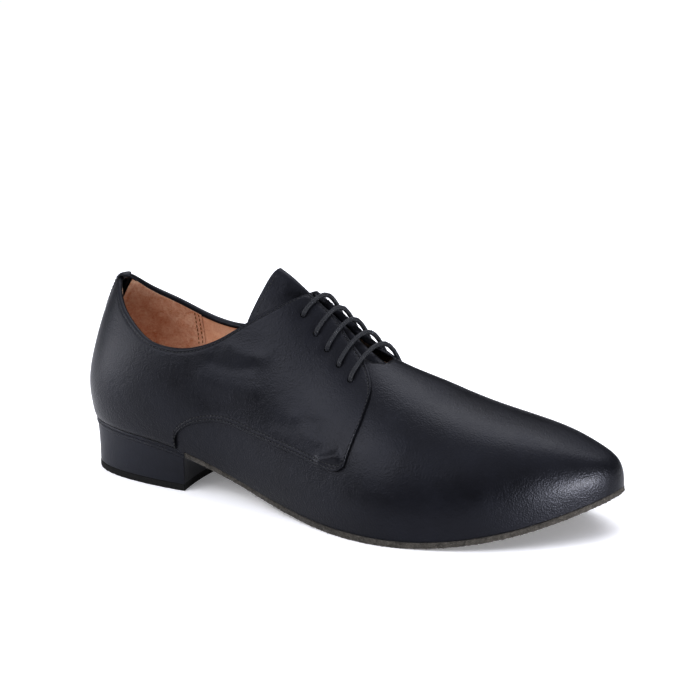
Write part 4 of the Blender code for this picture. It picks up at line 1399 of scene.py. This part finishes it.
@dataclass
class Lace:
    """The braided lace: five bars over the gap, each end led through its hole and under the facing."""

    last: Last
    diameter: float = 2.5
    over: float = 1.6
    clear: float = 0.15
    under: float = -3.3
    strands: int = 8
    pitch: float = 5.2
    step: float = 0.4
    bar_shares: tuple = (0.93, 0.8, 0.6, 0.4, 0.2, 0.0, -0.2, -0.4, -0.6, -0.8, -0.93)
    arch: tuple = ((-1.0, 0.0), (-0.8, 0.1), (-0.4, 0.3), (0.0, 0.4), (0.3, 0.6), (0.6, 0.6), (0.85, 0.3),
                   (1.0, 0.0))

    def route(self) -> np.ndarray:
        """The centre line of the lace."""
        lift = self.over + self.clear + self.diameter / 2
        points = []
        for number, hole in enumerate(HOLES):
            start = 1 if number % 2 else -1
            shares = [start * share for share in self.bar_shares]
            bar = []
            for share in shares:
                rise = np.interp(share, [row[0] for row in self.arch], [row[1] for row in self.arch])
                bar.append(hole_place(self.last, hole, share, lift + rise))
            points += [hole_place(self.last, hole, start, level) for level in (self.under, -1.5, 0.0, 1.2)]
            points += bar
            points += [hole_place(self.last, hole, -start, level) for level in (1.2, 0.0, -1.5, self.under)]
        line = resampled(np.array(points), self.step)
        for _ in range(5):
            line[1:-1] = (line[:-2] + 2 * line[1:-1] + line[2:]) / 4
        return resampled(line, self.step)

    def frames(self, line: np.ndarray) -> tuple[np.ndarray, np.ndarray]:
        """Two directions across the line at each point, with as little twist as can be."""
        way = np.gradient(line, axis=0)
        way /= np.linalg.norm(way, axis=1, keepdims=True)
        across = np.zeros_like(line)
        across[0] = np.cross(way[0], [1.0, 0.0, 0.0])
        for i in range(1, len(line)):
            across[i] = across[i - 1] - way[i] * np.dot(across[i - 1], way[i])
            across[i] /= np.linalg.norm(across[i])
        return across, np.cross(way, across)

    def build(self, cord: Material) -> None:
        """Builds the braid: strands that wind both ways, over and under each other, round a core."""
        line = self.route()
        one, other = self.frames(line)
        run = np.arange(len(line)) * self.step
        faces, points = [], []
        for strand in range(self.strands):
            turn = 1 if strand % 2 else -1
            angle = turn * 2 * np.pi * run / self.pitch + 2 * np.pi * (strand // 2) / (self.strands / 2)
            weave = np.cos(self.strands / 2 * 2 * np.pi * run / self.pitch + (np.pi if strand % 2 else 0))
            radius = self.diameter / 2 - 0.42 + 0.12 * weave
            out = one * np.cos(angle)[:, None] + other * np.sin(angle)[:, None]
            centre = line + out * radius[:, None]
            way = np.gradient(centre, axis=0)
            way /= np.linalg.norm(way, axis=1, keepdims=True)
            side = np.cross(way, out)
            rings = [centre + side * 0.52 * math.cos(turn_at) + out * 0.30 * math.sin(turn_at)
                     for turn_at in np.linspace(0, 2 * np.pi, 7)[:-1]]
            self.tube(np.stack(rings, 1), points, faces)
        core = [line + one * 0.85 * math.cos(turn_at) + other * 0.85 * math.sin(turn_at)
                for turn_at in np.linspace(0, 2 * np.pi, 9)[:-1]]
        self.tube(np.stack(core, 1), points, faces)
        obj = make_mesh("lace_cord", np.array(points), faces, self.last, 80.0)
        dress(obj, cord, ("lace",))

    def tube(self, rings: np.ndarray, points: list, faces: list) -> None:
        """Adds a capped tube through rings to a list of points and faces."""
        start = len(points)
        count, size = rings.shape[:2]
        faces += grid_faces(count, size, start, closed=True)
        final = start + (count - 1) * size
        faces += [tuple(range(start, start + size))[::-1], tuple(range(final, final + size))]
        points += list(rings.reshape(-1, 3))


@dataclass
class Outsole:
    """The thin chrome-suede outsole, with a fluffy cut edge."""

    last: Last
    thickness: float = 3.0
    perimeter_steps: int = 520
    profile: tuple = ((-9.0, 3.0), (-3.0, 3.0), (-0.6, 3.0), (-0.15, 2.9), (0.05, 2.6), (0.1, 2.1),
                      (0.1, 1.5), (0.1, 0.9), (0.0, 0.4), (-0.35, 0.1), (-1.0, 0.0), (-4.0, 0.0),
                      (-9.0, 0.0))
    fuzz: Ripple = field(default_factory=lambda: Ripple(1.6, 11, 40))
    fuzz_depth: float = 0.26
    fibres: float = 1.6
    fibre_length: float = 1.5
    fibre_thickness: float = 0.09
    floor_gap: float = 0.05
    seed: int = 8

    def build(self, suede: Material, fibre: Material) -> None:
        """Builds the sole and the loose fibres at its edge."""
        last = self.last
        marks = np.linspace(0, 1, self.perimeter_steps)
        out = between(LEDGE, "out", last.x_of(marks) / last.length)
        rings = []
        back = np.concatenate([marks, marks[-2:0:-1]])
        for number, (shift, height) in enumerate(self.profile):
            plan = last.loop(marks, out + shift)
            z = last.underside(back) + height
            ring = np.concatenate([plan, z[:, None]], 1)
            if 3 <= number <= 9:
                middle = np.array([last.length / 2, 0, 0])
                away = ring - middle
                away[:, 2] = 0
                away /= np.linalg.norm(away, axis=1, keepdims=True)
                ring = ring + away * (self.fuzz_depth * self.fuzz.at(ring))[:, None]
            rings.append(ring)
        rings = np.array(rings)
        count, size = rings.shape[:2]
        faces = grid_faces(count, size, closed=True)
        for base, flip in ((0, False), ((count - 1) * size, True)):
            for i in range(1, len(marks) - 1):
                here, after = i, i + 1
                left, left_after = size - i, size - i - 1
                face = (base + here, base + after, base + left_after % size, base + left % size)
                if after == len(marks) - 1:
                    face = (base + here, base + after, base + left % size)
                faces.append(face[::-1] if flip else face)
            faces.append((base + 1, base + size - 1, base) if not flip else (base, base + size - 1, base + 1))
        obj = make_mesh("outsole_suede", rings.reshape(-1, 3), faces, last)
        dress(obj, suede, ("outsole",))
        self.fluff(rings[3:10], fibre)

    def tree(self) -> Tree:
        """The node tree: loose fibres strewn over a band of suede, made real."""
        inputs = {"Density": "Float", "Length": "Float", "Thickness": "Float", "Seed": "Int"}
        tree, given = start_tree("loose fibres", inputs | {"Fibre": "Material"})
        inputs = {"Mesh": given["Geometry"], "Density": given["Density"], "Seed": given["Seed"]}
        strewn = add(tree, "GeometryNodeDistributePointsOnFaces", inputs).outputs
        inputs = {0: (-1.1, -1.1, 0.0), 1: (1.1, 1.1, 3.1), "Seed": given["Seed"]}
        sway = add(tree, "FunctionNodeRandomValue", inputs, data_type="FLOAT_VECTOR")
        local = add(tree, "FunctionNodeEulerToRotation", {0: sway.outputs[0]})
        inputs = {0: strewn["Rotation"], 1: local.outputs[0]}
        turned = add(tree, "FunctionNodeRotateRotation", inputs, rotation_space="LOCAL")
        inputs = {"Vertices": 3, "Radius Top": 0.0, "Radius Bottom": given["Thickness"]}
        hair = add(tree, "GeometryNodeMeshCone", inputs | {"Depth": given["Length"]})
        inputs = {2: 0.3, 3: 1.0, "Seed": given["Seed"]}
        size = add(tree, "FunctionNodeRandomValue", inputs, data_type="FLOAT")
        inputs = {"Points": strewn["Points"], "Instance": hair.outputs["Mesh"]}
        inputs |= {"Rotation": turned.outputs[0], "Scale": size.outputs[1]}
        laid = add(tree, "GeometryNodeInstanceOnPoints", inputs)
        real = add(tree, "GeometryNodeRealizeInstances", {"Geometry": laid.outputs["Instances"]})
        inputs = {"Geometry": real.outputs["Geometry"], "Material": given["Fibre"]}
        add(tree, "NodeGroupOutput", {0: add(tree, "GeometryNodeSetMaterial", inputs).outputs["Geometry"]})
        return tree

    def fluff(self, band: np.ndarray, fibre: Material) -> None:
        """Strews loose fibres over the band round the sole's edge."""
        count, size = band.shape[:2]
        obj = make_mesh("sole_fibres", band.reshape(-1, 3), grid_faces(count, size, closed=True), self.last)
        values = {"Density": self.fibres / MM**2, "Seed": self.seed, "Fibre": fibre}
        sizes = {"Length": self.fibre_length * MM, "Thickness": self.fibre_thickness * MM}
        grow(obj, self.tree(), values | sizes)
        make_real(obj)
        places = np.zeros(len(obj.data.vertices) * 3, np.float32)
        obj.data.vertices.foreach_get("co", places)
        places[2::3] = np.maximum(places[2::3], self.floor_gap * MM)
        obj.data.vertices.foreach_set("co", places)
        dress(obj, fibre)


@dataclass
class Sock:
    """The suede sock over the insole, a little dished under the heel."""

    last: Last
    inset: float = 3.1
    thickness: float = 2.0
    rows: int = 120

    def build(self, suede: Material) -> None:
        """Builds the sock."""
        last = self.last
        marks = np.linspace(0.004, 0.996, self.rows)
        left = last.plan(Side.OUTER, marks, np.full_like(marks, -self.inset))
        right = last.plan(Side.INNER, marks, np.full_like(marks, -self.inset))
        shares = np.concatenate([[0, 0.01, 0.03], np.linspace(0.06, 0.94, 17), [0.97, 0.99, 1]])
        shares = shares[None, :, None]
        plan = left[:, None] * (1 - shares) + right[:, None] * shares
        base = last.feather(station(np.clip(plan[..., 0] / last.length, 0, 1)))
        edge = 0.5 * (1 - rounded(np.minimum(shares, 1 - shares)[..., 0] * 50, 1.5))
        top = np.concatenate([plan, (base + self.thickness - edge)[..., None]], -1)
        bottom = np.concatenate([plan, base[..., None]], -1)
        dress(slab("sock", top, bottom, last), suede, ("insole",))


@dataclass
class Heel:
    """The leather-covered heel block with its rand, its hollow breast and its rubber top lift."""

    last: Last
    span: float = 68.0
    taper: float = 0.985
    centre: float = 0.8
    hollow: float = 3.0
    lift: float = 3.6
    gap: float = 0.25
    corner: float = 0.8
    ragged: Ripple = field(default_factory=lambda: Ripple(2.2, 21, 40))

    def outline(self, scale: float, out: float) -> np.ndarray:
        """Plan of the heel: from the outer breast corner over the back to the inner one, then across."""
        last = self.last
        marks = station(np.linspace(0, 1, 70) ** 2 * self.span / last.length)
        ledge = between(LEDGE, "out", last.x_of(marks) / last.length) + out
        outer = last.plan(Side.OUTER, marks, ledge)
        inner = last.plan(Side.INNER, marks, ledge)
        outer[0, 1] = inner[0, 1] = last.section["axis"](0) * last.half
        across = np.concatenate([[0.0, 0.004, 0.012], np.linspace(0.03, 0.97, 25), [0.988, 0.996, 1.0]])
        breast = inner[-1] + (outer[-1] - inner[-1]) * across[:, None]
        breast[:, 0] -= self.hollow * (1 - (2 * across - 1) ** 2)
        round_in = self.corner * (1 - rounded(np.minimum(across, 1 - across) * 60, self.corner))
        breast[:, 0] -= round_in
        ring = np.concatenate([outer[:0:-1], inner[:-1], breast[1:-1]])
        middle = np.array([self.span * self.centre, 0.0])
        return middle + (ring - middle) * scale

    def body(self, name: str, levels: list[tuple[float, float, float]], rough: float) -> Object:
        """A solid through outlines at levels of taper share, outward shift and height share.

        Args:
            name: Name of the piece.
            levels: Height from 0 at the bottom to 1 at the top, shift outwards, and how high it stands.
            rough: Depth of the raggedness of its sides.

        Returns:
            The closed solid.
        """
        rings = []
        for share, out, bottom in levels:
            scale = self.taper + (1 - self.taper) * share
            ring = self.outline(scale, out)
            seat = self.last.underside(station(np.clip(ring[:, 0] / self.last.length, 0, 1))) - self.gap
            z = bottom if share <= 0 else self.lift + (seat - self.lift) * share
            ring = np.concatenate([ring, np.broadcast_to(z, len(ring))[:, None]], 1)
            if rough and 0 < bottom < self.lift:
                away = ring - [self.span * self.centre, 0, ring[0, 2]]
                away[:, 2] = 0
                away /= np.linalg.norm(away, axis=1, keepdims=True)
                ring = ring + away * (rough * self.ragged.at(ring))[:, None]
            rings.append(ring)
        return swept(name, np.array(rings), self.last, capped=True, crease_angle=40)

    def build(self, cover: Material, rubber: Material) -> None:
        """Builds the covered block, the rand above it and the top lift."""
        shares = np.linspace(0.02, 0.98, 22)
        hollowed = [(share, -0.25 * math.sin(math.pi * share), self.lift) for share in shares]
        low = [(0.0, -0.5, self.lift), (0.006, -0.12, self.lift)]
        levels = [*low, *hollowed, (0.995, -0.1, self.lift), (1.0, -0.5, self.lift)]
        block = self.body("heel_cover", levels, 0.0)
        dress(block, cover, ("heel",))
        heights = [(0.0, -0.5), (0.15, -0.1), (0.6, 0.0), (1.2, 0.02), (1.8, 0.0), (2.4, 0.02), (3.0, 0.0),
                   (3.45, -0.05)]
        levels = [(0.0, out, height) for height, out in heights] + [(0.0, -0.4, self.lift - 0.02)]
        dress(self.body("top_lift_rubber", levels, 0.10), rubber, ("top_lift",))
        self.rand(cover)

    def rand(self, cover: Material) -> None:
        """The leather rand that hides the sole's edge over the heel, with a fine groove along it."""
        last = self.last
        profile = [(-1.2, 0.05), (0.2, -0.12), (0.42, 0.2), (0.5, 0.8), (0.44, 1.3), (0.22, 1.5), (0.44, 1.7),
                   (0.5, 2.2), (0.42, 2.8), (0.15, 3.12), (-1.2, 3.15)]
        half = station(np.linspace(0, 1, 80) ** 2 * (self.span + 1.0) / last.length)
        rings = []
        for side, marks in ((Side.OUTER, half[::-1]), (Side.INNER, half[1:])):
            for mark in marks:
                ledge = between(LEDGE, "out", last.x_of(mark) / last.length)
                low = float(last.underside(mark))
                rings.append([[*last.plan(side, mark, ledge + out), low + height] for out, height in profile])
        rings = np.array(rings)
        rings[len(half) - 1, :, 1] = 0.0
        dress(swept("heel_rand", rings, last, capped=True, crease_angle=40), cover)


@dataclass
class Studio:
    """The plain pale floor, the soft studio light and the camera at the photograph's angle."""

    floor_size: float = 12.0
    azimuth: float = 29.2
    elevation: float = 17.9
    roll: float = -0.5
    distance: float = 1.2
    focal_share: float = 3.4097
    target: tuple[float, float, float] = (-0.002, 0.0018, 0.040)
    middle: tuple[float, float] = (335.9, 420.5)
    frame_size: float = 700.0

    def floor(self, paint: Material) -> None:
        """The floor under the shoe."""
        half = self.floor_size / 2
        mesh = bpy.data.meshes.new("floor")
        corners = [(-half, -half, 0), (half, -half, 0), (half, half, 0), (-half, half, 0)]
        mesh.from_pydata(corners, [], [(0, 1, 2, 3)])
        mesh.materials.append(paint)
        linked(bpy.data.objects.new("floor", mesh))

    def light(self, name: str, place: tuple, aim: tuple, size: tuple, power: float) -> None:
        """A soft box at a place, turned to what it lights."""
        lamp = bpy.data.lights.new(name, "AREA")
        lamp.shape = "RECTANGLE"
        lamp.size, lamp.size_y = size
        lamp.energy = power
        obj = linked(bpy.data.objects.new(name, lamp))
        obj.location = place
        obj.rotation_euler = (Vector(aim) - Vector(place)).to_track_quat("-Z", "Y").to_euler()

    def lights(self) -> None:
        """Soft boxes behind and above, at the left, in front and low near the toe, in a room dark below."""
        world = bpy.data.worlds.new("studio")
        bpy.context.scene.world = world
        world.use_nodes = True
        tree = world.node_tree
        way = add(tree, "ShaderNodeTexCoord").outputs["Generated"]
        height = add(tree, "ShaderNodeSeparateXYZ", {"Vector": way}).outputs["Z"]
        ramp = add(tree, "ShaderNodeValToRGB", {"Fac": height})
        ramp.color_ramp.elements[0].position = 0.30
        ramp.color_ramp.elements[0].color = linear("#15161b")
        ramp.color_ramp.elements[1].position = 0.80
        ramp.color_ramp.elements[1].color = linear("#f4f6ff")
        back = tree.nodes["Background"]
        tree.links.new(ramp.outputs["Color"], back.inputs["Color"])
        back.inputs["Strength"].default_value = 1.27
        self.light("overhead box", (0.0, 0.7, 1.4), (0, 0, 0.03), (1.4, 1.0), 12.0)
        self.light("left box", (-1.0, -0.42, 0.22), (-0.05, 0, 0.04), (0.5, 0.4), 5.0)
        self.light("front box", (-0.48, -0.90, 0.84), (-0.05, 0, 0.05), (0.9, 0.7), 9.0)
        self.light("toe box", (1.2, -0.31, 0.08), (0.12, 0, 0.03), (0.24, 0.12), 16.0)

    def camera(self) -> None:
        """The camera, turned and shifted as the photograph's framing needs."""
        angles = (self.azimuth, self.elevation, self.roll)
        azimuth, elevation, roll = (math.radians(angle) for angle in angles)
        flat = Vector((math.sin(azimuth), -math.cos(azimuth), 0.0)) * math.cos(elevation)
        back = flat + Vector((0.0, 0.0, math.sin(elevation)))
        right = Vector((math.cos(azimuth), math.sin(azimuth), 0.0))
        up = back.cross(right)
        tilted_right = right * math.cos(roll) + up * math.sin(roll)
        tilted_up = up * math.cos(roll) - right * math.sin(roll)
        lens = bpy.data.cameras.new("photo camera")
        lens.sensor_width = 36.0
        lens.lens = self.focal_share * lens.sensor_width
        lens.shift_x = 0.5 - self.middle[0] / self.frame_size
        lens.shift_y = self.middle[1] / self.frame_size - 0.5
        lens.clip_start = 0.05
        lens.clip_end = 50.0
        obj = linked(bpy.data.objects.new("photo camera", lens))
        axes = Matrix((tilted_right, tilted_up, back)).transposed().to_4x4()
        obj.matrix_world = Matrix.Translation(Vector(self.target) + back * self.distance) @ axes
        bpy.context.scene.camera = obj

    def build(self) -> None:
        """Sets the whole studio."""
        self.floor(Paint().build())
        self.lights()
        self.camera()
        bpy.context.scene.view_settings.view_transform = "Standard"
        bpy.context.scene.view_settings.gamma = 0.78


def main() -> None:
    """Builds the shoe's pieces in order, then the studio."""
    logging.basicConfig(level=logging.INFO, format="%(name)s: %(message)s")
    last = Last()
    finishes = Finishes()
    pins = HolePins(last).build()
    Vamp(last).build(finishes.leather, pins)
    lining = Lining(last)
    lining.build(finishes.lining, finishes.front_lining)
    rows = []
    for side in Side:
        quarter = Quarter(last, side)
        quarter.build(finishes.leather, pins)
        rows += quarter.stitch_lines()
    bpy.data.objects.remove(pins)
    rows += BackStrip(last).build(finishes.leather)
    rows += Tongue(last).build(finishes.leather)
    Stitching(last).sew("upper_stitches", rows, finishes.thread)
    seam = Stitching(last, spacing=2.6, length=1.9)
    seam.sew("lining_stitches", lining.seam_lines(), finishes.tan_thread)
    Lace(last).build(finishes.cord)
    Outsole(last).build(finishes.sole, finishes.fibre)
    Sock(last).build(finishes.sock)
    Heel(last).build(finishes.cover, finishes.rubber)
    Studio().build()


if __name__ == "__main__":
    main()
